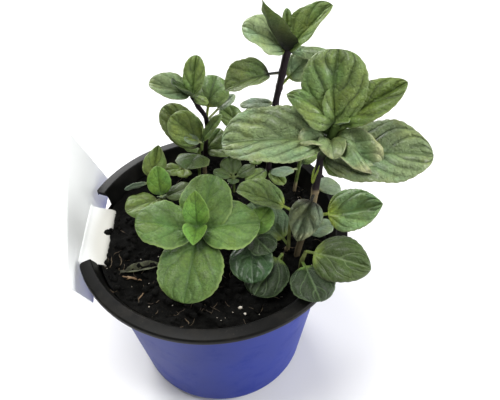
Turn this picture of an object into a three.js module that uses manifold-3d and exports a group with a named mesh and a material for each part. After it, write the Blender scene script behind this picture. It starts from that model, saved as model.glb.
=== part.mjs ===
// Potted mint plant: a notched nursery pot filled with soil, a card label that hooks through the
// notch, and leafy stems that stand in the soil. Millimetres, +Z up, origin under the pot's centre.
import * as THREE from "three";
import { mergeVertices } from "three/addons/utils/BufferGeometryUtils.js";
import Module from "manifold-3d";

const wasm = await Module();
wasm.setup();

// Pot: a thin cone with a flat rim that turns down into a skirt.
const POT_HEIGHT = 96.5;
const RIM_RADIUS = 65;
const LIP_RADIUS = 59.8;
const SHOULDER_RADIUS = 58.3;
const BASE_RADIUS = 43;
const WALL = 1.2;
const FLOOR = 2.4;
const RIM_FALL = 1;
const SKIRT_DROP = 2.8;
const BASE_CORNER = 8;
const POT_SEGMENTS = 48;
const NOTCH_FROM = 151.5;
const NOTCH_TO = 193.5;
const NOTCH_BOTTOM = 89;
const NOTCH_REACH = 75;
const DRAIN_COUNT = 6;
const DRAIN_CENTRE = 30;
const DRAIN_RADIUS = 3.5;
const DRAIN_SIDES = 8;
const CHANNEL_FROM = 25;
const CHANNEL_TO = 45;
const CHANNEL_WIDTH = 5;
const CHANNEL_DEPTH = 1;

// Soil: fills the pot to a little below the lip, with an uneven top.
const SOIL_LEVEL = 88.5;
const SOIL_GAP = 0.4;
const SOIL_EDGE_DROP = 1.5;
const SOIL_CORNER = 1;
const SOIL_RINGS = [0.93, 0.78, 0.6, 0.42, 0.22];
const SOIL_RELIEF = 0.6;
const LEVEL_SLACK = 0.1;

// Label: a flat panel that leans out over the notch, with a tongue bent down into the soil.
// The panel's outline is [across, up the lean] from the point LABEL_LEVEL above the base.
const LABEL_THICKNESS = 0.8;
const LABEL_AZIMUTH = 172.8;
const LABEL_DISTANCE = 63;
const LABEL_LEVEL = 95;
const LABEL_LEAN = 68;
const LABEL_PANEL = [
  [-43, -14], [-17, -14], [-17, -3], [19.5, -3],
  [19.5, -17], [32, -19], [36, 1], [-43, 27],
];
const TONGUE_FROM = -16;
const TONGUE_TO = 18.5;
const TONGUE_PATH = [[63.4, 95.9], [62.1, 92.7], [56.5, 90.2], [51.5, 89.2], [49.5, 78]];
const SLOT_GAP = 0.4;

// Stems and leaves.
const STEM_FOOT = 78;
const HOLE_GAP = 0.4;
const HOLE_SIDES = 8;
const STEM_SIDES = 4;
const BLADE_THICKNESS = 0.8;
const STALK_THICKNESS = 1.5;
const STALK_HALF = 0.7;
const STALK_BLEND = 1.6;
const TIP_HALF = 0.4;
const FOLD = 0.28;
const TOOTH = 0.035;
const ROUND_END = 0.5;
const CURL_FROM = 0.55;
const LARGE_LEAF = 28;
const SMALL_LEAF = 14;
const FIRST_ROW = 0.35;
const LARGE_ROWS = 7;
const MIDDLE_ROWS = 5;
const SMALL_ROWS = 4;
const LEAST_DROOP = 0.1;

// Points of a surface that lie closer than this are one.
const WELD = 0.001;

const colours = {
  pot: { color: 0x40489b, roughness: 0.45 },
  soil: { color: 0x1d1a18, roughness: 0.95 },
  label: { color: 0xebeeee, roughness: 0.5 },
  bright: { color: 0x789a55, roughness: 0.55 },
  leaf: { color: 0x5f7d46, roughness: 0.55 },
  dark: { color: 0x3f6640, roughness: 0.5 },
};

// A stem rises from its foot in the soil through its nodes. Each leaf is [node, azimuth from +X
// to +Y, pitch, length, width, droop, roll, cup], in degrees and millimetres. Droop is how far the
// midrib bends from root to tip, roll lifts the left edge, and cup is how far the edges stand up,
// as a share of the half width. A leaf may end with what is its own: the length of its stalk, how
// far its tip curls down, and how pointed its base and tip are, from 0.5 for a round end.
const shoots = [
  {
    name: "shoot_right_tall",
    finish: "leaf",
    radii: [1.8, 2.2],
    stalk: 1.5,
    foot: [38.5, -18],
    nodes: [
      [41.5, -17.5, 104], [44.2, -17, 114], [46, -16.5, 130], [47, -16, 140], [48, -16, 149],
      [51, -16, 158], [53, -16, 166],
    ],
    leaves: [
      [0, 5, 5, 14, 11, 20, 0, 0],
      [1, -12, 18, 33, 21, -20, 22, 0.1, { stalk: 8, tip: 0.8 }],
      [2, -128, -50, 24, 15, 10, -10, 0, { stalk: 5, base: 0.4, tip: 0.7 }],
      [2, 25, -14, 13, 12, 20, 0, 0],
      [4, -170, -76, 15, 4, 0, 0, 0.2, { stalk: 2 }],
      [4, -35, -20, 13, 12, 0, 0, 0],
      [5, 176, 1, 44, 28, 22, -15, 0.32, { stalk: 3, base: 0.45 }],
      [4, -13, 6, 45, 31, 25, 15, 0.1],
      [5, 73, 68, 37, 26.5, 20, 0, 0.1, { base: 0.7, tip: 0.42 }],
      [5, -36, -16, 22, 15, 90, 25, 0.5, { stalk: 2 }],
      [5, -165, 10, 14, 12, 50, 0, 0.3, { stalk: 1 }],
      [5, -95, 5, 13, 11, 80, 0, 0.4, { stalk: 1 }],
      [6, 7, 28, 32, 15.5, 10, 30, 0.35, { tip: 0.65 }],
      [6, 156, 33, 24, 17, 30, -10, -0.15, { curl: 30, base: 0.4, tip: 0.8 }],
      [6, 95, 62, 15, 11, 10, 0, 0.4, { stalk: 0.8 }],
      [6, -60, 39, 9, 6, 10, 0, 0.3],
    ],
  },
  {
    name: "shoot_back_tall",
    finish: "leaf",
    radii: [1.5, 2.2],
    stalk: 1.5,
    foot: [30, 28],
    nodes: [
      [31, 27, 103], [32.5, 26, 122], [34.5, 25, 146], [36, 24, 156], [37.2, 23.3, 164],
      [39, 22, 176], [39.3, 22, 178],
    ],
    leaves: [
      [0, -150, -5, 14, 9, 20, 0, 0],
      [0, -55, -12, 12, 8, 20, 0, 0],
      [1, 60, 20, 17, 13, 20, 0, 0],
      [2, 170, -4, 16.5, 8, 20, 0, 0],
      [4, -172, -8, 26, 17, 40, -10, 0.6, { stalk: 6, tip: 0.6 }],
      [3, 12, 42, 19, 13, 20, 38, 0.1, { stalk: 6 }],
      [5, 172, 34, 22.5, 21, 20, -8, 0.15],
      [5, -5, 50, 28, 16, 10, 20, 0.5, { tip: 0.65 }],
      [5, 8, -20, 26, 11, 10, 0, 0],
      [5, -138, 64, 35, 15, -20, 0, 0.5, { stalk: 1, tip: 1 }],
      [6, 85, 60, 16, 5, 10, 0, 0.3],
    ],
  },
  {
    name: "shoot_left_back",
    finish: "leaf",
    radii: [1.4, 1.4],
    stalk: 1.5,
    foot: [-1, 44],
    nodes: [[0.5, 43, 105], [2.5, 40, 127], [-1, 37.5, 139], [-3, 36, 146]],
    leaves: [
      [0, -18, 11, 17, 12, 20, 0, 0],
      [0, 40, 30, 14, 11, 10, 0, 0],
      [0, 160, 15, 13, 10, 20, 0, 0],
      [1, 62, 46, 22.5, 18.5, 60, 0, 0, { stalk: 7 }],
      [1, 22, 31, 19, 7, 20, 0, 0, { stalk: 8 }],
      [3, 170, 21, 21, 15, 20, -12, 0.3],
      [3, 68, 56, 19, 11, 10, 0, 0.2, { stalk: 1 }],
      [3, -150, 50, 15, 13, 0, 0, 0.3],
      [3, -42, -5, 9, 6, 20, 0, 0],
    ],
  },
  {
    name: "shoot_left_side",
    finish: "leaf",
    radii: [1.1, 1.1],
    stalk: 1.5,
    foot: [-4, 36],
    nodes: [[-3, 35.5, 110], [-1.5, 35, 114], [-0.8, 35, 118]],
    leaves: [
      [0, -112, 18, 18, 17, 20, 0, 0],
      [1, 137, 36, 28, 18, 20, -20, 0],
      [2, 3, 55, 19, 8, 10, 10, 0.2],
      [2, 148, 35, 20, 17, 10, -30, 0, { stalk: 1 }],
      [2, -178, 24, 9.5, 6, 10, -20, 0.3],
    ],
  },
  {
    name: "shoot_front_left",
    finish: "bright",
    radii: [1.3, 1.1],
    stalk: 1.5,
    foot: [-5, -14],
    nodes: [[-6.6, -18, 110], [-6.6, -18, 113], [-6.6, -18, 116]],
    leaves: [
      [0, -107, -18, 32, 30, 30, 0, 0],
      [0, 64, 38, 28, 25, 20, 0, 0],
      [1, 172, 14, 28, 25, 20, -8, 0],
      [1, -3, 6, 28, 26, 20, 8, 0],
      [2, 84, 72, 18, 12, 0, 0, 0.4, { stalk: 0.5, tip: 0.75 }],
      [2, -103, 0, 11, 11, 10, 0, 0.8, { stalk: 0.5, tip: 0.8 }],
    ],
  },
  {
    name: "shoot_left_front",
    finish: "bright",
    radii: [1, 0.8],
    stalk: 2.5,
    foot: [-23, 22],
    nodes: [[-23.5, 19.5, 97], [-23.5, 18.5, 100]],
    leaves: [
      [0, -160, 2, 19, 17, 20, 0, 0],
      [0, 12, 11, 17, 11, 20, 0, 0],
      [1, 92, 66, 16, 12, 0, 0, 0.3, { stalk: 1, tip: 0.6 }],
      [1, -80, 40, 6, 5, 0, 0, 0.3],
    ],
  },
  {
    name: "shoot_left_rear",
    finish: "leaf",
    radii: [1, 0.8],
    stalk: 2.5,
    foot: [-28, 32],
    nodes: [[-28, 29, 100]],
    leaves: [
      [0, 68, 42, 19, 13, 0, 0, 0.1, { base: 0.4, tip: 0.8 }],
      [0, -170, -4, 14, 6, 10, 70, 0.1],
      [0, -20, 10, 8, 5, 10, 0, 0.1],
    ],
  },
  {
    name: "shoot_middle",
    finish: "leaf",
    radii: [1, 0.8],
    stalk: 2,
    foot: [13, 28],
    nodes: [[13.3, 25, 101]],
    leaves: [
      [0, 98, 24, 12, 11, 20, 0, 0],
      [0, 165, 19, 11, 7, 20, 0, 0],
      [0, 14, 19, 12, 8, 20, 0, 0],
      [0, -100, 20, 7, 6, 10, 0, 0.2],
    ],
  },
  {
    name: "shoot_front_right",
    finish: "dark",
    radii: [1.4, 1.1],
    stalk: 4,
    foot: [39, -26],
    nodes: [[38.5, -31, 100], [40.5, -29.5, 104.5]],
    leaves: [
      [0, -80, 2, 24, 20, 20, 0, 0],
      [1, -30, 3, 30, 23, 30, 15, 0, { tip: 0.65 }],
    ],
  },
  {
    name: "shoot_front",
    finish: "dark",
    radii: [1.2, 1],
    stalk: 3,
    foot: [30.5, -21],
    nodes: [[30.5, -24, 97.5]],
    leaves: [
      [0, -130, -10, 24, 21, 20, 0, 0],
    ],
  },
  {
    name: "shoot_front_middle",
    finish: "dark",
    radii: [1.2, 1],
    stalk: 3,
    foot: [18, -13],
    nodes: [[17, -16, 103], [17, -17, 106]],
    leaves: [
      [0, -95, -10, 24, 20, 25, 0, 0],
      [0, 165, 10, 12, 9, 20, 0, 0],
      [1, -60, 3, 15, 14, 20, 0, 0],
      [1, 42, 24, 15, 12, 10, 20, 0, { stalk: 1 }],
    ],
  },
  {
    name: "shoot_middle_right",
    finish: "leaf",
    radii: [1.3, 1],
    stalk: 4,
    foot: [34, -14],
    nodes: [[34.5, -17, 95], [37, -8, 109]],
    leaves: [
      [0, 124, 16, 28, 21, 20, 0, 0, { stalk: 4 }],
      [1, 160, 18, 27, 16, 20, 0, 0.5],
    ],
  },
  {
    name: "shoot_back_middle",
    finish: "leaf",
    radii: [1.2, 1],
    stalk: 3,
    foot: [24, 38],
    nodes: [[25, 39, 102], [24, 40, 112], [22, 40, 119]],
    leaves: [
      [0, 110, 15, 16, 12, 20, 0, 0],
      [0, -85, 12, 9, 7, 20, 0, 0],
      [1, 25, 20, 18, 14, 20, 0, 0],
      [1, -155, 15, 15, 12, 20, 0, 0],
      [2, 150, 36, 17, 11, 10, -30, 0.1],
      [2, 60, 50, 11, 8, 10, 0, 0.2],
    ],
  },
  {
    name: "shoot_back_right",
    finish: "leaf",
    radii: [1.2, 1],
    stalk: 3,
    foot: [44, 24],
    nodes: [[46, 25, 103], [47, 25, 112]],
    leaves: [
      [0, 50, 20, 15, 12, 20, 0, 0],
      [0, -163, 8, 15, 10, 20, 15, 0],
      [1, -50, 30, 10, 7, 20, 0, 0],
      [1, 110, 30, 14, 10, 20, 0, 0],
    ],
  },
  {
    name: "shoot_back_left",
    finish: "leaf",
    radii: [1, 0.8],
    stalk: 2.5,
    foot: [-11, 42],
    nodes: [[-11, 40, 97]],
    leaves: [
      [0, -165, 10, 12, 10, 20, 0, 0],
      [0, -95, 12, 9, 8, 20, 0, 0],
      [0, 90, 15, 9, 8, 10, 0, 0.1],
    ],
  },
];

const rad = THREE.MathUtils.degToRad;

// A closed surface with shared corners and no collapsed triangles, as a solid.
function solidOf(geometry) {
  const bare = new THREE.BufferGeometry();
  bare.setAttribute("position", geometry.getAttribute("position"));
  if (geometry.index) bare.setIndex(geometry.index);
  const merged = mergeVertices(bare, WELD);
  const corners = [];
  for (let i = 0; i < merged.index.count; i += 3) {
    const [a, b, c] = [0, 1, 2].map((k) => merged.index.getX(i + k));
    if (a !== b && b !== c && c !== a) corners.push(a, b, c);
  }
  return new wasm.Manifold(
    new wasm.Mesh({
      numProp: 3,
      vertProperties: new Float32Array(merged.attributes.position.array),
      triVerts: new Uint32Array(corners),
    }),
  );
}

function pointsToSolid(points, triangles) {
  const geometry = new THREE.BufferGeometry();
  geometry.setAttribute("position", new THREE.Float32BufferAttribute(points.flat(), 3));
  geometry.setIndex(triangles.flat());
  return solidOf(geometry);
}

function meshOf(name, solid, finish) {
  const made = solid.getMesh();
  const geometry = new THREE.BufferGeometry();
  geometry.setAttribute("position", new THREE.BufferAttribute(made.vertProperties, 3));
  geometry.setIndex(new THREE.BufferAttribute(made.triVerts, 1));
  geometry.computeVertexNormals();
  const mesh = new THREE.Mesh(geometry, new THREE.MeshStandardMaterial(colours[finish]));
  mesh.name = name;
  return mesh;
}

// A profile of [radius, height] points that starts and ends on the axis, turned about +Z.
function turned(profile) {
  const points = profile.map(([r, z]) => new THREE.Vector2(r, z));
  return new THREE.LatheGeometry(points, POT_SEGMENTS).rotateX(Math.PI / 2);
}

function prism(outline, height) {
  const shape = new THREE.Shape(outline.map(([x, y]) => new THREE.Vector2(x, y)));
  return new THREE.ExtrudeGeometry(shape, { depth: height, bevelEnabled: false });
}

function rod(radius, height, sides) {
  return new THREE.CylinderGeometry(radius, radius, height, sides).rotateX(Math.PI / 2);
}

// Radius of the wall's outer face at a height below the rim.
function wallRadius(z) {
  return BASE_RADIUS + ((SHOULDER_RADIUS - BASE_RADIUS) * z) / POT_HEIGHT;
}

// The outline of the pot's wall, from the middle of its base out, up, over the rim and back down.
function potProfile() {
  const under = POT_HEIGHT - RIM_FALL - WALL;
  const skirt = POT_HEIGHT - RIM_FALL - SKIRT_DROP;
  const flat = wallRadius(BASE_CORNER) - BASE_CORNER;
  const corner = [0, 30, 60, 90].map((turn) => [
    flat + BASE_CORNER * Math.sin(rad(turn)),
    BASE_CORNER * (1 - Math.cos(rad(turn))),
  ]);
  return [
    [0, 0],
    ...corner,
    [wallRadius(under), under],
    [RIM_RADIUS - WALL, under],
    [RIM_RADIUS - WALL, skirt],
    [RIM_RADIUS, skirt],
    [RIM_RADIUS, POT_HEIGHT - RIM_FALL],
    [LIP_RADIUS, POT_HEIGHT],
    [SHOULDER_RADIUS - WALL, POT_HEIGHT - WALL],
    [wallRadius(BASE_CORNER) - WALL, BASE_CORNER + WALL],
    [flat, FLOOR],
    [0, FLOOR],
  ];
}

// The notch is a wedge cut down through the rim and the top of the wall.
function notchCutter() {
  const corner = (azimuth) => {
    const turn = rad(azimuth);
    return [NOTCH_REACH * Math.cos(turn), NOTCH_REACH * Math.sin(turn)];
  };
  const middle = (NOTCH_FROM + NOTCH_TO) / 2;
  const outline = [[0, 0], corner(NOTCH_FROM), corner(middle), corner(NOTCH_TO)];
  return solidOf(prism(outline, POT_HEIGHT).translate(0, 0, NOTCH_BOTTOM));
}

function potSolid() {
  let pot = solidOf(turned(potProfile())).subtract(notchCutter());
  for (let i = 0; i < DRAIN_COUNT; i++) {
    const turn = rad((360 * (i + 0.5)) / DRAIN_COUNT);
    const hole = rod(DRAIN_RADIUS, 3 * FLOOR, DRAIN_SIDES).translate(DRAIN_CENTRE, 0, 0).rotateZ(turn);
    const channel = new THREE.BoxGeometry(CHANNEL_TO - CHANNEL_FROM, CHANNEL_WIDTH, 2 * CHANNEL_DEPTH)
      .translate((CHANNEL_FROM + CHANNEL_TO) / 2, 0, 0)
      .rotateZ(turn);
    pot = pot.subtract(solidOf(hole)).subtract(solidOf(channel));
  }
  return pot;
}

// Low mounds and dips of the soil's top.
function soilRelief(x, y) {
  const broad = Math.sin(x / 7 + 1) * Math.cos(y / 9);
  const slanting = Math.sin((x + y) / 4.5) + Math.cos((x - 2 * y) / 6);
  return SOIL_RELIEF * (broad + slanting / 2);
}

function soilSolid() {
  const edge = wallRadius(SOIL_LEVEL) - WALL - SOIL_GAP;
  const corner = wallRadius(BASE_CORNER) - WALL - SOIL_GAP;
  const profile = [
    [0, FLOOR + SOIL_GAP],
    [wallRadius(BASE_CORNER) - BASE_CORNER - SOIL_CORNER, FLOOR + SOIL_GAP],
    [corner, BASE_CORNER + WALL + SOIL_CORNER],
    [edge, SOIL_LEVEL - SOIL_EDGE_DROP],
    ...SOIL_RINGS.map((share) => [share * edge, SOIL_LEVEL]),
    [0, SOIL_LEVEL],
  ];
  const geometry = turned(profile);
  const position = geometry.getAttribute("position");
  for (let i = 0; i < position.count; i++) {
    if (position.getZ(i) < SOIL_LEVEL - LEVEL_SLACK) continue;
    position.setZ(i, SOIL_LEVEL + soilRelief(position.getX(i), position.getY(i)));
  }
  return solidOf(geometry);
}

// The label's own frame: x across it towards the front, y up the lean, z off its inner face.
function labelFrame() {
  const out = new THREE.Vector3(Math.cos(rad(LABEL_AZIMUTH)), Math.sin(rad(LABEL_AZIMUTH)), 0);
  const up = new THREE.Vector3(0, 0, 1);
  const across = new THREE.Vector3().crossVectors(up, out);
  const lean = new THREE.Vector3()
    .addScaledVector(out, Math.cos(rad(LABEL_LEAN)))
    .addScaledVector(up, Math.sin(rad(LABEL_LEAN)));
  const face = new THREE.Vector3().crossVectors(across, lean);
  const place = out.clone().multiplyScalar(LABEL_DISTANCE).addScaledVector(up, LABEL_LEVEL);
  return new THREE.Matrix4().makeBasis(across, lean, face).setPosition(place);
}

// The outline of a band of even thickness along a path.
function bandOutline(path, half) {
  const points = path.map(([x, y]) => new THREE.Vector2(x, y));
  const offset = points.map((point, i) => {
    const before = points[Math.max(0, i - 1)];
    const after = points[Math.min(points.length - 1, i + 1)];
    const into = (i ? point.clone().sub(before) : after.clone().sub(point)).normalize();
    const out = (after !== point ? after.clone().sub(point) : into.clone()).normalize();
    const along = into.clone().add(out).normalize();
    const miter = half / along.dot(into);
    return new THREE.Vector2(-along.y * miter, along.x * miter);
  });
  const left = points.map((p, i) => p.clone().add(offset[i]).toArray());
  const right = points.map((p, i) => p.clone().sub(offset[i]).toArray());
  return [...left, ...right.reverse()];
}

// The tongue follows its path of [distance from the pot's axis, height].
function tongueSolid(gap) {
  const outline = bandOutline(TONGUE_PATH, LABEL_THICKNESS / 2 + gap);
  const band = prism(outline, TONGUE_TO - TONGUE_FROM + 2 * gap)
    .translate(0, 0, TONGUE_FROM - gap)
    .rotateX(Math.PI / 2);
  return solidOf(band.rotateZ(rad(LABEL_AZIMUTH)));
}

function labelSolid() {
  const panel = prism(LABEL_PANEL, LABEL_THICKNESS).translate(0, 0, -LABEL_THICKNESS / 2);
  return solidOf(panel.applyMatrix4(labelFrame())).add(tongueSolid(0));
}

// Half width of a blade at share u of its length, with shallow teeth at every other station.
function halfWidth(leaf, u, tooth) {
  const stalk = leaf.stalk / leaf.length;
  if (u <= stalk) return STALK_HALF;
  const s = (u - stalk) / (1 - stalk);
  const peak = leaf.base / (leaf.base + leaf.tip);
  const full = peak ** leaf.base * (1 - peak) ** leaf.tip;
  const shape = (s ** leaf.base * (1 - s) ** leaf.tip) / full;
  return Math.max(TIP_HALF, (leaf.width / 2) * shape * (1 + tooth));
}

// The midrib's points in the blade's own frame, as [along the chord, up, slope] at each station.
function midrib(leaf, stations) {
  const bend = rad(leaf.droop || LEAST_DROOP);
  const arc = (leaf.length * (bend / 2)) / Math.sin(bend / 2);
  const slope = (u) => bend / 2 - bend * u - rad(leaf.curl) * THREE.MathUtils.smoothstep(u, CURL_FROM, 1);
  let x = 0;
  let z = 0;
  return stations.map((u, i) => {
    if (i) {
      const before = stations[i - 1];
      const mean = slope((u + before) / 2);
      x += Math.cos(mean) * (u - before) * arc;
      z += Math.sin(mean) * (u - before) * arc;
    }
    return [x, z, slope(u)];
  });
}

// A point of the blade off a point of its midrib: y to the left, z off the upper face.
function bladePoint(leaf, [x, z, slope], u, v, tooth, side) {
  const half = halfWidth(leaf, u, tooth);
  const stalky = Math.max(0, 1 - (u * leaf.length) / (STALK_BLEND * leaf.stalk));
  const thickness = BLADE_THICKNESS + (STALK_THICKNESS - BLADE_THICKNESS) * stalky;
  const rise = half * (FOLD * Math.abs(v) + (leaf.cup - FOLD) * v * v) + (side * thickness) / 2;
  return new THREE.Vector3(x - Math.sin(slope) * rise, half * v, z + Math.cos(slope) * rise);
}

// Shares of the length at which the blade has a row of points: the stalk, then the blade.
function stationsOf(leaf) {
  const short = leaf.length >= SMALL_LEAF ? MIDDLE_ROWS : SMALL_ROWS;
  const count = leaf.length >= LARGE_LEAF ? LARGE_ROWS : short;
  const stalk = leaf.stalk / leaf.length;
  const stations = [0];
  for (let i = 0; i <= count; i++) {
    const s = (1 - Math.cos((Math.PI * (i + FIRST_ROW)) / (count + FIRST_ROW))) / 2;
    stations.push(stalk + (1 - stalk) * s);
  }
  return stations;
}

function leafSolid(leaf) {
  const stations = stationsOf(leaf);
  const reach = leaf.length >= LARGE_LEAF ? 2 : 1;
  const columns = 2 * reach + 1;
  const rows = stations.length;
  const rib = midrib(leaf, stations);
  const place = new THREE.Matrix4()
    .makeTranslation(leaf.root.x, leaf.root.y, leaf.root.z)
    .multiply(new THREE.Matrix4().makeRotationZ(rad(leaf.azimuth)))
    .multiply(new THREE.Matrix4().makeRotationY(-rad(leaf.pitch)))
    .multiply(new THREE.Matrix4().makeRotationX(rad(leaf.roll)));
  const points = [];
  for (const side of [1, -1])
    stations.forEach((u, i) => {
      const tooth = i > 1 && i < rows - 1 ? TOOTH * (-1) ** i : 0;
      for (let j = -reach; j <= reach; j++)
        points.push(bladePoint(leaf, rib[i], u, j / reach, tooth, side).applyMatrix4(place).toArray());
    });
  const top = (i, j) => i * columns + j;
  const under = (k) => k + rows * columns;
  const faces = [];
  for (let i = 0; i + 1 < rows; i++)
    for (let j = 0; j + 1 < columns; j++) {
      const [a, b, c, d] = [top(i, j), top(i + 1, j), top(i + 1, j + 1), top(i, j + 1)];
      faces.push([a, b, c], [a, c, d]);
      faces.push([under(c), under(b), under(a)], [under(d), under(c), under(a)]);
    }
  const edge = [];
  for (let i = 0; i + 1 < rows; i++) edge.push(top(i, 0));
  for (let j = 0; j + 1 < columns; j++) edge.push(top(rows - 1, j));
  for (let i = rows - 1; i > 0; i--) edge.push(top(i, columns - 1));
  for (let j = columns - 1; j > 0; j--) edge.push(top(0, j));
  edge.forEach((p, k) => {
    const q = edge[(k + 1) % edge.length];
    faces.push([q, p, under(p)], [q, under(p), under(q)]);
  });
  return pointsToSolid(points, faces);
}

// A tapered stem along a path, with a section of a few sides.
function stemSolid(path, radii) {
  const sides = STEM_SIDES;
  const centres = path.map((p) => new THREE.Vector3(...p));
  const points = [];
  centres.forEach((centre, i) => {
    const before = centres[Math.max(0, i - 1)];
    const after = centres[Math.min(centres.length - 1, i + 1)];
    const along = after.clone().sub(before).normalize();
    const first = new THREE.Vector3(1, 0, 0).addScaledVector(along, -along.x).normalize();
    const second = new THREE.Vector3().crossVectors(along, first);
    const radius = radii[0] + ((radii[1] - radii[0]) * i) / (centres.length - 1);
    for (let k = 0; k < sides; k++) {
      const turn = (2 * Math.PI * (k + 0.5)) / sides;
      const corner = centre.clone().addScaledVector(first, radius * Math.cos(turn));
      points.push(corner.addScaledVector(second, radius * Math.sin(turn)).toArray());
    }
  });
  const at = (i, k) => i * sides + (k % sides);
  const faces = [];
  for (let i = 0; i + 1 < centres.length; i++)
    for (let k = 0; k < sides; k++) {
      faces.push([at(i, k), at(i, k + 1), at(i + 1, k + 1)]);
      faces.push([at(i, k), at(i + 1, k + 1), at(i + 1, k)]);
    }
  const last = centres.length - 1;
  for (let k = 1; k + 1 < sides; k++) {
    faces.push([at(0, 0), at(0, k + 1), at(0, k)]);
    faces.push([at(last, 0), at(last, k), at(last, k + 1)]);
  }
  return pointsToSolid(points, faces);
}

function shootSolid(shoot) {
  const nodes = shoot.nodes.map((p) => new THREE.Vector3(...p));
  const path = [[...shoot.foot, STEM_FOOT], [...shoot.foot, SOIL_LEVEL], ...shoot.nodes];
  let solid = stemSolid(path, shoot.radii);
  for (const [at, azimuth, pitch, length, width, droop, roll, cup, own] of shoot.leaves) {
    const leaf = { root: nodes[at], azimuth, pitch, length, width, droop, roll, cup };
    const usual = { stalk: Math.min(shoot.stalk, length / 4), curl: 0, base: ROUND_END, tip: ROUND_END };
    solid = solid.add(leafSolid({ ...leaf, ...usual, ...own }));
  }
  return solid;
}

// A plain hole in the soil round a stem's foot.
function stemHole(shoot) {
  const radius = (shoot.radii[0] + HOLE_GAP) / Math.cos(Math.PI / HOLE_SIDES);
  const height = 2 * (SOIL_LEVEL - STEM_FOOT);
  const [x, y] = shoot.foot;
  return solidOf(rod(radius, height, HOLE_SIDES).translate(x, y, STEM_FOOT - HOLE_GAP + height / 2));
}

function pottedPlant() {
  const plant = new THREE.Group();
  let soil = soilSolid().subtract(tongueSolid(SLOT_GAP));
  for (const shoot of shoots) soil = soil.subtract(stemHole(shoot));
  plant.add(meshOf("pot", potSolid(), "pot"));
  plant.add(meshOf("soil", soil, "soil"));
  plant.add(meshOf("plant_label", labelSolid(), "label"));
  for (const shoot of shoots) plant.add(meshOf(shoot.name, shootSolid(shoot), shoot.finish));
  return plant;
}

export default pottedPlant();
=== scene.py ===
"""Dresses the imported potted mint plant: toothed leaves with sunken veins, square stems, a thin
two-tone nursery pot, crumbly soil with a few bits of litter, and a bare card label."""

import math
import random
from typing import NamedTuple

import bmesh
import bpy
import numpy as np
from bpy.props import FloatProperty, FloatVectorProperty, IntProperty, PointerProperty
from mathutils import Matrix, Vector, noise


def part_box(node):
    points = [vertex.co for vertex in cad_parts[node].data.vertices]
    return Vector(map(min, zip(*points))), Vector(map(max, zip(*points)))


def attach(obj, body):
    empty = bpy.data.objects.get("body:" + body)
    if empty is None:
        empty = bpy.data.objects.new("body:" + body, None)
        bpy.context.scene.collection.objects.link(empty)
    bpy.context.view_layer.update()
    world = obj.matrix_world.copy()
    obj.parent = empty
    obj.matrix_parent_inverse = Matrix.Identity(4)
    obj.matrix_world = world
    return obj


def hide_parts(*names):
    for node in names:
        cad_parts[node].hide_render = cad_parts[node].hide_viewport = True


bl_info = {
    "name": "Potted Mint Plant",
    "version": (1, 0, 0),
    "blender": (4, 5, 0),
    "location": "3D View > Sidebar > Mint Plant",
    "description": "Builds a potted mint plant round its packed solids",
    "category": "Object",
}

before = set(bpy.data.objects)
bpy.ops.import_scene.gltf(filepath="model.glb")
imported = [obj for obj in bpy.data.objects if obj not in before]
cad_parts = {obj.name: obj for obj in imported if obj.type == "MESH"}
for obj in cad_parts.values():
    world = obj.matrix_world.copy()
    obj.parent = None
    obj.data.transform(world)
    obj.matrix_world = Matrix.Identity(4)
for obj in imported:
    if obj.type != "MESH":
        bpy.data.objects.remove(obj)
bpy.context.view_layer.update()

MM = 0.001


def shade(red, green, blue):
    """A colour given in display shades of 0 to 255, as linear colour."""
    linear = []
    for value in (red, green, blue):
        share = value / 255
        linear.append(share / 12.92 if share <= 0.04045 else ((share + 0.055) / 1.055) ** 2.4)
    return (*linear, 1.0)


# Lengths below are in millimetres, and angles in degrees.
POT_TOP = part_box("pot")[1].z / MM
RIM_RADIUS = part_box("pot")[1].x / MM
LIP_RADIUS = 59.8
SHOULDER_RADIUS = 58.3
BASE_RADIUS = 43
WALL = 1.2
FLOOR = 2.4
RIM_FALL = 1
RIM_BEND = 1
RIM_ROUND = 1.2
RIM_SINK = 0.9
SKIRT_DROP = 2.8
SKIRT_FILLET = 0.5
LIP_ROUND = 0.8
BASE_CORNER = 8
POT_SIDES = 192
NOTCH_FROM = 151.5
NOTCH_TO = 193.5
NOTCH_BOTTOM = 89
NOTCH_ROUND = 2.2
NOTCH_REACH = 12
NOTCH_STEPS = 6
DRAIN_COUNT = 6
DRAIN_CENTRE = 30
DRAIN_RADIUS = 3.5
DRAIN_SIDES = 24
BELOW_FLOOR = -1
CHANNEL_FROM = 25
CHANNEL_TO = 47
CHANNEL_WIDTH = 5
CHANNEL_DEPTH = 1

SOIL_LEVEL = 88.5
SOIL_RELIEF = 0.6
SOIL_GAP = 0.4
SOIL_RINGS = 100
SOIL_SIDES = 300

# Litter lies between two distances from the axis, turned by up to a whole turn in radians.
SPOTS_FROM = 2
SPOTS_TO = 54
CRUMB_SIZE = 1.7
ANY_TURN = 6.3
# Bits that lie on the soil where the photograph shows them. A grain is (x, y), a straw (x, y, length,
# azimuth, radius) and the leaf (x, y, length, width, azimuth), with its stalk as a share.
WHITE_GRAINS = ((10.4, -49), (8.7, -44), (21.4, 51.5), (30.3, 48.5))
STRAWS = (
    (-44, -20, 9.5, -15, 0.55),
    (-42.5, -21.5, 4, -8, 0.4),
    (-36.7, -34.5, 5, 60, 0.3),
    (-20, -37, 4, -30, 0.3),
)
FALLEN_LEAF = (-45, -17.5, 19, 5.5, 5)
FALLEN_STALK = 0.12
FALLEN_SEED = 5

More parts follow.
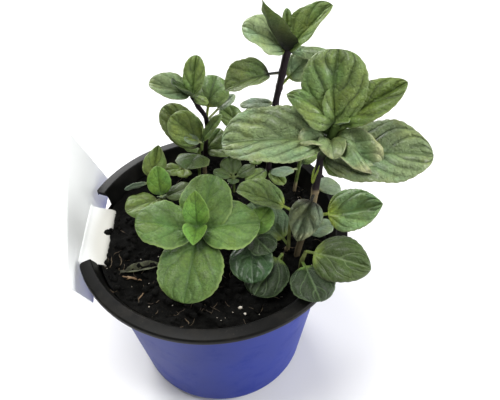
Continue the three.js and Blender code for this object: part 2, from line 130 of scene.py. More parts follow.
LABEL_AZIMUTH = 172.8
LABEL_DISTANCE = 63
LABEL_LEVEL = 95
LABEL_LEAN = 68
LABEL_FOLD = -3
LABEL_TOP = ((-43, 27), (36, 1))
LABEL_WAIST = (-43, 35.2)
TONGUE_ACROSS = (-17, 19.5)
LEFT_FLAP = ((-43, -14), (-17, -14))
RIGHT_FLAP = ((19.5, -17), (32, -19))
TONGUE_PATH = ((62.1, 92.7), (60.3, 91.3), (56.5, 90.2), (51.5, 89.2), (50, 87), (49.6, 82), (49.5, 78))
TONGUE_TAPER = 0.08
CARD_EDGE = 0.15
CARD_WELD = 0.02
DAMP_FROM = 55
DAMP_TO = 64

# A stem's half width is a share of the solid's radius, and it is old and pale up to a height.
STEM_FOOT = 78
STEM_HALF = 0.72
STEM_CORNER = 5
STEM_SIDES = 16
STEM_STEPS = 8
NODE_SWELL = 0.16
OLD_STEM = (140, 126, 98)
BARE_TO = {"purple": 96, "turning": 132, "brown": 96, "green": 96}

# A blade or leaf of the full length has its whole relief. A fold is a share of the half width.
ROWS_PER_MM = 1.9
COLUMNS_PER_MM = 1.6
STALK_ROWS = 5
STALK_THICKNESS = 1.3
STALK_HALF = 0.7
EDGE_ROUND = 0.6
TOOTH_SPACING = 3.4
FULL_BLADE = 36
FULL_LEAF = 40
GROOVE_DEPTH = 0.35
GROOVE_HALF = 0.7
FOLD = 0.28
DRIED = (176, 172, 128)
ROTTEN = (70, 62, 44)

# The stage is in metres. A light has its name, its power's setting, its place, size and colour.
UP = Vector((0, 0, 1))
FLOOR_HALF = 3
LIT_POINT = Vector((0, 0, 0.12))
LIGHTS = (
    ("top_light", "key", (-0.2, -0.05, 1), 0.45, (1, 0.995, 0.98)),
    ("back_light", "back", (-0.3, 0.85, 0.5), 0.6, (1, 1, 1)),
    ("side_light", "side", (0.85, -0.3, 0.5), 0.6, (1, 1, 1)),
)


class Tone(NamedTuple):
    """A leaf's colours: upper face, underside, veins, margin and stalk. Where the veins and stalk are
    darker than the blade, they are partly painted shade in the sunk veins and at the creased leaf
    bases. Reach is how far the stalk's colour spreads into the blade, relief how deep the furrows are
    and how dark their painted shade is, and shine how waxy it is."""

    upper: tuple
    under: tuple
    vein: tuple
    margin: tuple
    stalk: tuple
    reach: float = 0.14
    relief: float = 1
    shine: float = 0.35


TONES = {
    "bright": Tone(
        (84, 112, 50), (128, 150, 104), (58, 90, 36), (140, 164, 92), (50, 80, 28), 0.3, 0.5, 0.12
    ),
    "broad": Tone(
        (79, 106, 46), (128, 150, 104), (54, 84, 34), (136, 158, 90), (50, 80, 28), 0.3, 0.5, 0.12
    ),
    "young": Tone(
        (106, 144, 58), (120, 146, 84), (62, 94, 36), (132, 156, 80), (60, 88, 34), 0.3, 0.4, 0.15
    ),
    "green": Tone((100, 121, 60), (134, 152, 120), (50, 70, 30), (118, 134, 84), (62, 82, 38), 0.2),
    "fresh": Tone((92, 113, 56), (134, 152, 120), (50, 70, 30), (118, 134, 84), (148, 166, 72)),
    # Painted sheen: a lighter, greyer copy of the green for large leaves that catch a broad highlight.
    "silver": Tone(
        (117, 135, 90), (140, 158, 126), (56, 78, 36), (122, 130, 88), (70, 90, 42), shine=0.4
    ),
    "olive": Tone((92, 112, 47), (122, 136, 98), (52, 66, 28), (116, 124, 76), (92, 104, 50), shine=0.2),
    "shaded": Tone((84, 100, 48), (126, 138, 104), (52, 66, 28), (116, 124, 76), (46, 40, 36), shine=0.1),
    # Partly painted shade: a darker green for low leaves that sit in shade under others.
    "deep": Tone((58, 75, 32), (116, 130, 94), (44, 58, 24), (98, 110, 66), (78, 92, 44), 0.14, 0.7, 0.1),
    "plain": Tone((114, 134, 68), (136, 152, 118), (60, 80, 36), (124, 140, 88), (80, 96, 44), shine=0.2),
    "mossy": Tone(
        (59, 78, 28), (112, 128, 98), (122, 140, 96), (78, 84, 60), (120, 140, 58), 0.2, 0.8, 0.15
    ),
    "dull": Tone((116, 147, 91), (130, 148, 126), (126, 150, 82), (96, 98, 66), (158, 178, 60), 0.3),
    "dark": Tone(
        (25, 41, 12), (104, 124, 98), (92, 114, 74), (96, 118, 78), (108, 134, 54), 0.14, 0.8, 0.1
    ),
    "glossy": Tone(
        (33, 62, 25), (104, 124, 98), (76, 102, 66), (96, 118, 78), (108, 134, 54), 0.2, 0.8, 0.35
    ),
    # Painted light: a much lighter copy for leaves that face away from the lamps, standing in for light
    # shining through them.
    "frosted": Tone(
        (142, 160, 112), (170, 186, 150), (72, 94, 44), (132, 146, 102), (148, 166, 72), shine=0.3
    ),
    "slaty": Tone(
        (80, 104, 70), (116, 130, 100), (118, 138, 106), (90, 106, 78), (120, 140, 62), 0.2, 0.8, 0.15
    ),
    # Partly painted sheen: a pale bluish green that gives small leaves a whitish sheen as well as their own
    # pale colour.
    "pale": Tone(
        (116, 134, 104), (140, 158, 136), (140, 156, 126), (122, 138, 106), (148, 158, 102), 0.14, 0.4
    ),
    "purple": Tone(
        (86, 106, 48), (116, 136, 66), (50, 62, 36), (50, 52, 38), (30, 25, 27), 1.3, 0.3, 0.1
    ),
    "wilted": Tone(
        (112, 130, 84), (136, 148, 116), (70, 84, 50), (150, 152, 112), (66, 82, 44), 0.2, 0.8
    ),
    "withered": Tone(
        (96, 108, 80), (92, 102, 80), (96, 108, 84), (92, 96, 70), (60, 56, 46), 0.2, 1.6, 0.1
    ),
    "yellow": Tone(
        (150, 166, 62), (150, 166, 80), (128, 140, 56), (140, 140, 70), (156, 172, 60), 0.2, 0.3, 0.1
    ),
}


class Leaf(NamedTuple):
    """A leaf at a node of its stem. Droop bends the midrib, roll lifts the left edge, cup raises the
    edges as a share of the half width, curl turns the tip further down, and wilt dries it out. Base
    and tip are 0.5 for a round end and more for a pointed one."""

    node: int
    azimuth: float
    pitch: float
    length: float
    width: float
    droop: float
    roll: float
    cup: float
    stalk: float = 0
    tone: str = ""
    curl: float = 0
    wilt: float = 0
    base: float = 0.5
    tip: float = 0.5


class Shoot(NamedTuple):
    """A leafy stem that rises from its foot in the soil through its nodes."""

    tone: str
    radii: tuple
    stalk: float
    stem: str
    foot: tuple
    nodes: tuple
    leaves: tuple


# The colours of a stem below and at its top.
STEM_SHADES = {
    "purple": ((34, 26, 31), (34, 26, 31)),
    "turning": ((34, 26, 31), (70, 88, 44)),
    "brown": ((70, 58, 44), (96, 104, 58)),
    "green": ((88, 104, 54), (88, 104, 54)),
}

SHOOTS = {
    "shoot_right_tall": Shoot(
        "green", (1.8, 2.2), 1.5, "turning", (38.5, -18),
        (
            (41.5, -17.5, 104), (44.2, -17, 114), (46, -16.5, 130), (47, -16, 140),
            (48, -16, 149), (51, -16, 158), (53, -16, 166),
        ),
        (
            Leaf(0, 5, 5, 14, 11, 20, 0, 0, tone="pale"),
            Leaf(1, -12, 18, 33, 21, -20, 22, 0.1, 8, "dull", tip=0.8),
            Leaf(2, -128, -50, 24, 15, 10, -10, 0, 5, "withered", wilt=0.4, base=0.4, tip=0.7),
            Leaf(2, 25, -14, 13, 12, 20, 0, 0, tone="pale"),
            Leaf(4, -170, -76, 15, 4, 0, 0, 0.2, 2, "yellow"),
            Leaf(4, -35, -20, 13, 12, 0, 0, 0),
            Leaf(5, 176, 1, 44, 28, 22, -15, 0.32, 3, "silver", base=0.45),
            Leaf(4, -13, 6, 45, 31, 25, 15, 0.1, tone="silver"),
            Leaf(5, 73, 68, 37, 26.5, 20, 0, 0.1, base=0.7, tip=0.42),
            Leaf(5, -36, -16, 22, 15, 90, 25, 0.5, 2, "wilted", wilt=0.9),
            Leaf(5, -165, 10, 14, 12, 50, 0, 0.3, 1, "wilted", wilt=0.4),
            Leaf(5, -95, 5, 13, 11, 80, 0, 0.4, 1, "wilted", wilt=0.3),
            Leaf(6, 7, 28, 32, 15.5, 10, 30, 0.35, tone="olive", tip=0.65),
            Leaf(6, 156, 33, 24, 17, 30, -10, -0.15, curl=30, base=0.4, tip=0.8),
            Leaf(6, 95, 62, 15, 11, 10, 0, 0.4, 0.8),
            Leaf(6, -60, 39, 9, 6, 10, 0, 0.3),
        ),
    ),
    "shoot_back_tall": Shoot(
        "green", (1.5, 2.2), 1.5, "purple", (30, 28),
        (
            (31, 27, 103), (32.5, 26, 122), (34.5, 25, 146), (36, 24, 156),
            (37.2, 23.3, 164), (39, 22, 176), (39.3, 22, 178),
        ),
        (
            Leaf(0, -150, -5, 14, 9, 20, 0, 0),
            Leaf(0, -55, -12, 12, 8, 20, 0, 0),
            Leaf(1, 60, 20, 17, 13, 20, 0, 0),
            Leaf(2, 170, -4, 16.5, 8, 20, 0, 0, tone="pale"),
            Leaf(4, -172, -8, 26, 17, 40, -10, 0.6, 6, "shaded", tip=0.6),
            Leaf(3, 12, 42, 19, 13, 20, 38, 0.1, 6, "frosted"),
            Leaf(5, 172, 34, 22.5, 21, 20, -8, 0.15, tone="frosted"),
            Leaf(5, -5, 50, 28, 16, 10, 20, 0.5, tone="plain", tip=0.65),
            Leaf(5, 8, -20, 26, 11, 10, 0, 0, tone="silver"),
            Leaf(5, -138, 64, 35, 15, -20, 0, 0.5, 1, "purple", tip=1),
            Leaf(6, 85, 60, 16, 5, 10, 0, 0.3),
        ),
    ),
    "shoot_left_back": Shoot(
        "green", (1.4, 1.4), 1.5, "purple", (-1, 44),
        ((0.5, 43, 105), (2.5, 40, 127), (-1, 37.5, 139), (-3, 36, 146)),
        (
            Leaf(0, -18, 11, 17, 12, 20, 0, 0),
            Leaf(0, 40, 30, 14, 11, 10, 0, 0),
            Leaf(0, 160, 15, 13, 10, 20, 0, 0),
            Leaf(1, 62, 46, 22.5, 18.5, 60, 0, 0, 7, "fresh"),
            Leaf(1, 22, 31, 19, 7, 20, 0, 0, 8, "pale"),
            Leaf(3, 170, 21, 21, 15, 20, -12, 0.3, tone="silver"),
            Leaf(3, 68, 56, 19, 11, 10, 0, 0.2, 1),
            Leaf(3, -150, 50, 15, 13, 0, 0, 0.3, tone="deep"),
            Leaf(3, -42, -5, 9, 6, 20, 0, 0),
        ),
    ),
    "shoot_left_side": Shoot(
        "green", (1.1, 1.1), 1.5, "green", (-4, 36),
        ((-3, 35.5, 110), (-1.5, 35, 114), (-0.8, 35, 118)),
        (
            Leaf(0, -112, 18, 18, 17, 20, 0, 0, tone="deep"),
            Leaf(1, 137, 36, 28, 18, 20, -20, 0, tone="shaded"),
            Leaf(2, 3, 55, 19, 8, 10, 10, 0.2),
            Leaf(2, 148, 35, 20, 17, 10, -30, 0, 1, "plain"),
            Leaf(2, -178, 24, 9.5, 6, 10, -20, 0.3, tone="pale"),
        ),
    ),
    "shoot_front_left": Shoot(
        "bright", (1.3, 1.1), 1.5, "green", (-5, -14),
        ((-6.6, -18, 110), (-6.6, -18, 113), (-6.6, -18, 116)),
        (
            Leaf(0, -107, -18, 32, 30, 30, 0, 0, tone="broad"),
            Leaf(0, 64, 38, 28, 25, 20, 0, 0),
            Leaf(1, 172, 14, 28, 25, 20, -8, 0),
            Leaf(1, -3, 6, 28, 26, 20, 8, 0),
            Leaf(2, 84, 72, 18, 12, 0, 0, 0.4, 0.5, "young", tip=0.75),
            Leaf(2, -103, 0, 11, 11, 10, 0, 0.8, 0.5, "young", tip=0.8),
        ),
    ),
    "shoot_left_front": Shoot(
        "bright", (1, 0.8), 2.5, "green", (-23, 22),
        ((-23.5, 19.5, 97), (-23.5, 18.5, 100)),
        (
            Leaf(0, -160, 2, 19, 17, 20, 0, 0, tone="olive"),
            Leaf(0, 12, 11, 17, 11, 20, 0, 0, tone="deep"),
            Leaf(1, 92, 66, 16, 12, 0, 0, 0.3, 1, "young", tip=0.6),
            Leaf(1, -80, 40, 6, 5, 0, 0, 0.3, tone="pale"),
        ),
    ),
    "shoot_left_rear": Shoot(
        "green", (1, 0.8), 2.5, "green", (-28, 32),
        ((-28, 29, 100),),
        (
            Leaf(0, 68, 42, 19, 13, 0, 0, 0.1, tone="olive", base=0.4, tip=0.8),
            Leaf(0, -170, -4, 14, 6, 10, 70, 0.1, tone="pale"),
            Leaf(0, -20, 10, 8, 5, 10, 0, 0.1),
        ),
    ),
    "shoot_middle": Shoot(
        "deep", (1, 0.8), 2, "green", (13, 28),
        ((13.3, 25, 101),),
        (
            Leaf(0, 98, 24, 12, 11, 20, 0, 0),
            Leaf(0, 165, 19, 11, 7, 20, 0, 0),
            Leaf(0, 14, 19, 12, 8, 20, 0, 0),
            Leaf(0, -100, 20, 7, 6, 10, 0, 0.2),
        ),
    ),
    "shoot_front_right": Shoot(
        "dark", (1.4, 1.1), 4, "brown", (39, -26),
        ((38.5, -31, 100), (40.5, -29.5, 104.5)),
        (
            Leaf(0, -80, 2, 24, 20, 20, 0, 0),
            Leaf(1, -30, 3, 30, 23, 30, 15, 0, tone="mossy", tip=0.65),
        ),
    ),
    "shoot_front": Shoot(
        "dark", (1.2, 1), 3, "brown", (30.5, -21),
        ((30.5, -24, 97.5),),
        (
            Leaf(0, -130, -10, 24, 21, 20, 0, 0),
        ),
    ),
    "shoot_front_middle": Shoot(
        "dark", (1.2, 1), 3, "brown", (18, -13),
        ((17, -16, 103), (17, -17, 106)),
        (
            Leaf(0, -95, -10, 24, 20, 25, 0, 0, tone="glossy"),
            Leaf(0, 165, 10, 12, 9, 20, 0, 0),
            Leaf(1, -60, 3, 15, 14, 20, 0, 0),
            Leaf(1, 42, 24, 15, 12, 10, 20, 0, 1, "young"),
        ),
    ),
    "shoot_middle_right": Shoot(
        "olive", (1.3, 1), 4, "brown", (34, -14),
        ((34.5, -17, 95), (37, -8, 109)),
        (
            Leaf(0, 124, 16, 28, 21, 20, 0, 0, 4, "slaty"),
            Leaf(1, 160, 18, 27, 16, 20, 0, 0.5, tone="fresh"),
        ),
    ),
    "shoot_back_middle": Shoot(
        "green", (1.2, 1), 3, "green", (24, 38),
        ((25, 39, 102), (24, 40, 112), (22, 40, 119)),
        (
            Leaf(0, 110, 15, 16, 12, 20, 0, 0),
            Leaf(0, -85, 12, 9, 7, 20, 0, 0),
            Leaf(1, 25, 20, 18, 14, 20, 0, 0),
            Leaf(1, -155, 15, 15, 12, 20, 0, 0),
            Leaf(2, 150, 36, 17, 11, 10, -30, 0.1),
            Leaf(2, 60, 50, 11, 8, 10, 0, 0.2),
        ),
    ),
    "shoot_back_right": Shoot(
        "green", (1.2, 1), 3, "green", (44, 24),
        ((46, 25, 103), (47, 25, 112)),
        (
            Leaf(0, 50, 20, 15, 12, 20, 0, 0),
            Leaf(0, -163, 8, 15, 10, 20, 15, 0, tone="pale"),
            Leaf(1, -50, 30, 10, 7, 20, 0, 0, tone="young"),
            Leaf(1, 110, 30, 14, 10, 20, 0, 0),
        ),
    ),
    "shoot_back_left": Shoot(
        "olive", (1, 0.8), 2.5, "green", (-11, 42),
        ((-11, 40, 97),),
        (
            Leaf(0, -165, 10, 12, 10, 20, 0, 0),
            Leaf(0, -95, 12, 9, 8, 20, 0, 0),
            Leaf(0, 90, 15, 9, 8, 10, 0, 0.1),
        ),
    ),
}


def colour_setting(name, description, default):
    return FloatVectorProperty(
        name=name, description=description, default=default, subtype="COLOR", size=4, min=0, max=1
    )


def length_setting(name, description, default, low=0):
    """A length, given in millimetres and kept in metres."""
    return FloatProperty(
        name=name, description=description, default=default * MM, min=low * MM, unit="LENGTH"
    )


def share_setting(name, description, default, high=1):
    return FloatProperty(
        name=name, description=description, default=default, min=0, max=high, subtype="FACTOR"
    )


def count_setting(name, description, default):
    return IntProperty(name=name, description=description, default=default, min=0)


def power_setting(name, description, default):
    return FloatProperty(name=name, description=description, default=default, min=0, unit="POWER")


def angle_setting(name, description, default):
    """An angle, given in degrees and kept in radians."""
    return FloatProperty(
        name=name, description=description, default=math.radians(default), subtype="ANGLE"
    )


class PotSettings(bpy.types.PropertyGroup):
    """The nursery pot."""

    outside: colour_setting("Outside", "Colour of the pot's outer face", shade(27, 45, 130))
    inside: colour_setting("Inside", "Colour of the pot's inner face and rim", shade(10, 10, 9))
    roughness: share_setting("Roughness", "How dull the plastic is", 0.42)


class SoilSettings(bpy.types.PropertyGroup):
    """The potting soil and the bits that lie on it."""

    colour: colour_setting("Soil", "Colour of the damp soil", shade(10, 10, 9))
    clod_height: length_setting("Clod Height", "Height of the clods on the soil's top", 1.1)
    crumbs: count_setting("Crumbs", "Loose crumbs on the soil", 900)
    fibres: count_setting("Fibres", "Thin root and peat fibres", 150)
    flecks: count_setting("Flecks", "Small pale flecks", 90)
    seed: count_setting("Seed", "Seed of the scatter", 7)


class LabelSettings(bpy.types.PropertyGroup):
    """The card label."""

    colour: colour_setting("Card", "Colour of the bare card", shade(246, 248, 248))
    thickness: length_setting("Thickness", "Thickness of the card", 0.55)
    bow: length_setting("Bow", "How far the panel bows out of flat", 0.9)


class LeafSettings(bpy.types.PropertyGroup):
    """The leaves and stems."""

    blade: length_setting("Blade", "Thickness of a leaf's blade", 0.45)
    quilting: length_setting("Quilting", "How far a large leaf bulges between its side veins", 1.7)
    tooth: share_setting(
        "Tooth Depth", "Depth of the margin's teeth as a share of the half width", 0.03, 0.2
    )
    vein_gap: length_setting("Vein Spacing", "Distance between a large leaf's side veins", 10.2, 0.5)
    seed: count_setting("Seed", "Seed of the small differences", 3)


class StageSettings(bpy.types.PropertyGroup):
    """The floor, the lights and the camera."""

    floor: colour_setting("Floor", "Colour of the plain floor", (0.82, 0.82, 0.82, 1))
    sky: FloatProperty(name="Surroundings", description="Strength of the pale room", default=0.34, min=0)
    key: power_setting("Top Light", "Power of the soft light above", 7)
    back: power_setting("Back Light", "Power of the light behind", 9)
    side: power_setting("Side Light", "Power of the light at the right", 10.5)
    elevation: angle_setting("Elevation", "Height of the camera above the horizon", 47.86)
    distance: length_setting("Distance", "From the camera to the plant's middle", 334.9)
    middle: length_setting("Middle", "Height of the plant's middle", 100)
    pan: angle_setting("Pan", "Turn to the right", 3.29)
    tilt: angle_setting("Tilt", "Turn upwards", 1.22)
    roll: angle_setting("Roll", "Turn about the view", -5.94)
    lens: FloatProperty(name="Lens", description="Focal length in millimetres", default=50.4)


SETTINGS = {
    "mint_pot": PotSettings,
    "mint_soil": SoilSettings,
    "mint_label": LabelSettings,
    "mint_leaf": LeafSettings,
    "mint_stage": StageSettings,
}


class Parts:
    """Gathers points and faces of one shoot, with a material slot and a look for each face. A look
    is the blade's colours by point, the veins' and the margin's colour, the UVs by point, and the
    number of the first of these points."""

    def __init__(self):
        self.points = []
        self.count = 0
        self.faces = []
        self.slots = []
        self.looks = []

    def add_points(self, points):
        first = self.count
        self.points.append(np.asarray(points, float))
        self.count += len(points)
        return first

    def add_faces(self, faces, slot, look):
        for face in faces:
            self.faces.append(tuple(int(p) for p in face))
            self.slots.append(slot)
            self.looks.append(look)


def add_object(name, data):
    """A new object in the scene."""
    made = bpy.data.objects.new(name, data)
    bpy.context.scene.collection.objects.link(made)
    return made


def link(name, mesh, materials, replaced=()):
    """A piece of the plant: an object with its materials that rides on the body."""
    piece = add_object(name, mesh)
    for material in materials:
        mesh.materials.append(material)
    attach(piece, "root")
    if replaced:
        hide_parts(*replaced)
    return piece


def smooth(mesh, sharp_from):
    """Smooth faces, with edges sharp where they meet at more than this angle, in degrees."""
    mesh.polygons.foreach_set("use_smooth", [True] * len(mesh.polygons))
    mesh.set_sharp_from_angle(angle=math.radians(sharp_from))
    mesh.update()


def flat_mesh(name, points, faces):
    """A mesh from points in millimetres."""
    mesh = bpy.data.meshes.new(name)
    mesh.from_pydata([tuple(c * MM for c in p) for p in points], [], faces)
    mesh.update()
    return mesh


def plain_mesh(name, points, faces, sharp_from):
    """A smooth mesh from points in millimetres."""
    mesh = flat_mesh(name, points, faces)
    smooth(mesh, sharp_from)
    return mesh


def ring(radius, count, x=0, y=0):
    """Points (x, y) of a circle."""
    turns = [2 * math.pi * k / count for k in range(count)]
    return [(x + radius * math.cos(turn), y + radius * math.sin(turn)) for turn in turns]


def ring_faces(rings, sides, first=0):
    """Faces between neighbouring rings of points."""
    faces = []
    for i in range(rings - 1):
        for k in range(sides):
            a, b = first + i * sides + k, first + i * sides + (k + 1) % sides
            faces.append((a, b, b + sides, a + sides))
    return faces


def spun(x, y, turn):
    """A point turned about the origin."""
    c, s = math.cos(turn), math.sin(turn)
    return x * c - y * s, x * s + y * c


class Wires:
    """Short calls for placing and joining nodes in one tree."""

    def __init__(self, tree):
        self.tree = tree

    def node(self, kind, **settings):
        made = self.tree.nodes.new(kind)
        for name, value in settings.items():
            setattr(made, name, value)
        return made

    def join(self, value, socket):
        if isinstance(value, bpy.types.NodeSocket):
            self.tree.links.new(value, socket)
        else:
            socket.default_value = value

    def feed(self, sockets, **values):
        """Joins each value to the socket of its name, with _ for a space."""
        for label, value in values.items():
            self.join(value, sockets[label.replace("_", " ")])

    def maths(self, operation, first, second=0.0, clamp=False):
        made = self.node("ShaderNodeMath", operation=operation, use_clamp=clamp)
        self.join(first, made.inputs[0])
        self.join(second, made.inputs[1])
        return made.outputs[0]

    def times(self, first, second):
        return self.maths("MULTIPLY", first, second)

    def minus(self, first, second):
        return self.maths("SUBTRACT", first, second)

    def ramp(self, value, low, high, start=0.0, end=1.0, kind="SMOOTHSTEP"):
        """From start to end while the value goes from low to high."""
        made = self.node("ShaderNodeMapRange", interpolation_type=kind)
        for socket, given in zip(made.inputs, (value, low, high, start, end)):
            self.join(given, socket)
        return made.outputs[0]

    def mix(self, share, first, second, blend="MIX"):
        made = self.node("ShaderNodeMix", data_type="RGBA", blend_type=blend)
        for number, value in ((0, share), (6, first), (7, second)):
            self.join(value, made.inputs[number])
        return made.outputs[2]

    def noise(self, scale, detail, place, roughness=0.5):
        """Noise of about 0.5, with the scale in spots to a metre."""
        made = self.node("ShaderNodeTexNoise")
        self.feed(made.inputs, Scale=scale, Detail=detail, Roughness=roughness, Vector=place)
        return made.outputs["Fac"]

    def attribute(self, name, output="Color"):
        return self.node("ShaderNodeAttribute", attribute_name=name).outputs[output]

    def place(self):
        return self.node("ShaderNodeTexCoord").outputs["Object"]

    def bump(self, height, strength, distance, before=None):
        """The normal of a relief whose distance is in millimetres, on top of another normal."""
        made = self.node("ShaderNodeBump")
        self.feed(made.inputs, Height=height, Strength=strength, Distance=distance * MM)
        if before:
            self.join(before, made.inputs["Normal"])
        return made.outputs["Normal"]

    def group(self, name, **values):
        made = self.node("ShaderNodeGroup", node_tree=bpy.data.node_groups[name])
        self.feed(made.inputs, **values)
        return made.outputs

    def mottled(self, colour, place, scale, strength):
        return self.group("Mottling", Colour=colour, Vector=place, Scale=scale, Strength=strength)["Colour"]


def node_group(name, inputs, outputs):
    """A new shader node group: its wires, what comes in and what goes out. Inputs are given as
    (name, kind, default) and outputs as (name, kind)."""
    group = bpy.data.node_groups.new(name, "ShaderNodeTree")
    for label, kind, default in inputs:
        socket = group.interface.new_socket(name=label, in_out="INPUT", socket_type="NodeSocket" + kind)
        socket.default_value = default
    for label, kind in outputs:
        group.interface.new_socket(name=label, in_out="OUTPUT", socket_type="NodeSocket" + kind)
    start = group.nodes.new("NodeGroupInput")
    end = group.nodes.new("NodeGroupOutput")
    return Wires(group), start.outputs, end.inputs


def new_material(name):
    """A material with one Principled shader: (material, wires, the shader's inputs)."""
    material = bpy.data.materials.new(name)
    material.use_nodes = True
    shader = material.node_tree.nodes["Principled BSDF"]
    return material, Wires(material.node_tree), shader.inputs


def build_groups():
    """The shared effects: leaf veins, mottling and a fine net of cells."""
    wires, given, out = node_group(
        "Leaf Veins",
        [("Phase", "Float", 0.0), ("Across", "Float", 0.0), ("Width", "Float", 0.1)],
        [("Side Veins", "Float"), ("Midrib", "Float"), ("Margin", "Float"), ("Ridge", "Float")],
    )
    part = wires.maths("FRACT", given["Phase"])
    near = wires.maths("MINIMUM", part, wires.minus(1.0, part))
    outward = wires.maths("ABSOLUTE", given["Across"])
    inside = wires.ramp(outward, 0.75, 0.97, 1.0, 0.0)
    ridge = wires.minus(1.0, wires.times(wires.ramp(near, 0.0, 0.2, 1.0, 0.0), inside))
    wires.feed(
        out,
        Side_Veins=wires.times(wires.ramp(near, 0.0, given["Width"], 1.0, 0.0), inside),
        Midrib=wires.ramp(outward, 0.02, 0.09, 1.0, 0.0),
        Margin=wires.ramp(outward, 0.9, 1.0),
        Ridge=wires.times(ridge, wires.ramp(outward, 0.0, 0.1)),
    )

    wires, given, out = node_group(
        "Mottling",
        [
            ("Colour", "Color", (0.5, 0.5, 0.5, 1)),
            ("Vector", "Vector", (0, 0, 0)),
            ("Scale", "Float", 200.0),
            ("Strength", "Float", 0.2),
        ],
        [("Colour", "Color")],
    )
    mask = wires.ramp(wires.noise(given["Scale"], 4.0, given["Vector"]), 0.3, 0.7)
    darker = wires.minus(1.0, given["Strength"])
    lighter = wires.maths("ADD", 1.0, given["Strength"])
    scaled = wires.node("ShaderNodeVectorMath", operation="SCALE")
    wires.join(given["Colour"], scaled.inputs[0])
    wires.join(wires.ramp(mask, 0.0, 1.0, darker, lighter, "LINEAR"), scaled.inputs["Scale"])
    wires.feed(out, Colour=scaled.outputs[0])

    wires, given, out = node_group(
        "Fine Net", [("Vector", "Vector", (0, 0, 0)), ("Scale", "Float", 800.0)], [("Lines", "Float")]
    )
    cells = wires.node("ShaderNodeTexVoronoi", feature="DISTANCE_TO_EDGE")
    wires.feed(cells.inputs, Vector=given["Vector"], Scale=given["Scale"])
    wires.feed(out, Lines=wires.ramp(cells.outputs["Distance"], 0.0, 0.16, 1.0, 0.0))


def blade_material(name, roughness, vein_share, net_share, ridge_height):
    """A leaf's face. Its colours are attributes of the mesh, and its UVs give the veins' places. The
    vein colour's alpha says how strong the relief is, and the blade colour's how waxy it is."""
    material, wires, shader = new_material(name)
    place = wires.place()
    spread = wires.node("ShaderNodeSeparateXYZ")
    wires.join(wires.node("ShaderNodeUVMap", uv_map="veins").outputs["UV"], spread.inputs[0])
    veins = wires.group("Leaf Veins", Phase=spread.outputs["X"], Across=spread.outputs["Y"], Width=0.07)
    net = wires.group("Fine Net", Vector=place, Scale=900.0)["Lines"]
    cells = wires.group("Fine Net", Vector=place, Scale=340.0)["Lines"]
    colour = wires.mottled(wires.attribute("blade_colour"), place, scale=150.0, strength=0.14)
    colour = wires.mottled(colour, place, scale=750.0, strength=0.18)
    cooler = wires.ramp(wires.noise(75.0, 2.0, place), 0.48, 0.68, 0.0, 0.7)
    colour = wires.mix(cooler, colour, (0.78, 0.96, 1.12, 1), "MULTIPLY")
    warmer = wires.ramp(wires.noise(95.0, 3.0, place, 0.6), 0.36, 0.52, 0.7, 0.0)
    colour = wires.mix(warmer, colour, (1.1, 1.0, 0.74, 1), "MULTIPLY")
    # Where the vein colour is darker than the blade, these painted veins are partly painted shade in the
    # sunk veins.
    for mask, share, painted in (
        (net, net_share, "vein_colour"),
        (veins["Side Veins"], vein_share, "vein_colour"),
        (veins["Midrib"], vein_share, "vein_colour"),
        (veins["Margin"], 0.6, "margin_colour"),
    ):
        colour = wires.mix(wires.times(mask, share), colour, wires.attribute(painted))
    dull = wires.ramp(wires.noise(120.0, 2.0, place), 0.25, 0.75, roughness - 0.06, roughness + 0.08)
    ridges = wires.minus(veins["Ridge"], wires.times(cells, 0.4))
    furrows = wires.times(ridges, wires.attribute("vein_colour", "Alpha"))
    folds = wires.bump(furrows, strength=1.0, distance=ridge_height)
    grain = wires.times(wires.noise(700.0, 4.0, place, 0.65), 3.0)
    skin = wires.minus(grain, wires.times(net, 0.6))
    patches = wires.ramp(wires.noise(160.0, 3.0, place, 0.6), 0.35, 0.65, 0.35, 1.0)
    wires.feed(
        shader,
        Base_Color=colour,
        Roughness=dull,
        Specular_IOR_Level=0.35,
        Coat_Weight=wires.times(wires.attribute("blade_colour", "Alpha"), patches),
        Coat_Roughness=0.26,
        Normal=wires.bump(skin, strength=0.7, distance=0.3, before=folds),
    )
    return material


def stem_material():
    """A stem's mottled skin."""
    material, wires, shader = new_material("stem_skin")
    place = wires.place()
    wires.feed(
        shader,
        Base_Color=wires.mottled(wires.attribute("blade_colour"), place, scale=420.0, strength=0.25),
        Roughness=0.55,
        Specular_IOR_Level=0.14,
        Normal=wires.bump(wires.noise(900.0, 3.0, place), strength=0.3, distance=0.2),
    )
    return material


def smooth_step(value, low, high):
    """From 0 to 1 while the value goes from low to high."""
    share = np.clip((value - low) / (high - low), 0, 1)
    return share * share * (3 - 2 * share)


def blade_rows(leaf, stalk):
    """(share of the whole length, share of the blade) of each row, from the root to the tip."""
    count = int(np.clip(leaf.length * ROWS_PER_MM, 20, 84))
    even = np.linspace(0, 1, count + 1)
    eased = (1 - np.cos(np.pi * even)) / 2
    blade = 0.45 * even + 0.55 * eased
    on_stalk = np.linspace(0, 1, STALK_ROWS + 1)[:-1]
    whole = np.concatenate([on_stalk * stalk, stalk + blade * (1 - stalk)])
    return whole, np.concatenate([np.zeros(STALK_ROWS), blade])


def blade_columns(leaf):
    """Places across the blade from -1 at the right edge to 1 at the left."""
    count = int(np.clip(leaf.width * COLUMNS_PER_MM, 12, 50)) // 2
    half = np.linspace(0, 1, count + 1)[:-1]
    half = np.concatenate([half, [0.965, 1.0]])
    return np.concatenate([-half[:0:-1], half])


def both_faces(upper, under):
    """Values of all points of a leaf. The underside has none at the margin and the tip, where its
    points are the upper face's."""
    size = upper.shape[-1]
    return np.concatenate([upper.reshape(-1, size), under[:-1, 1:-1].reshape(-1, size)])


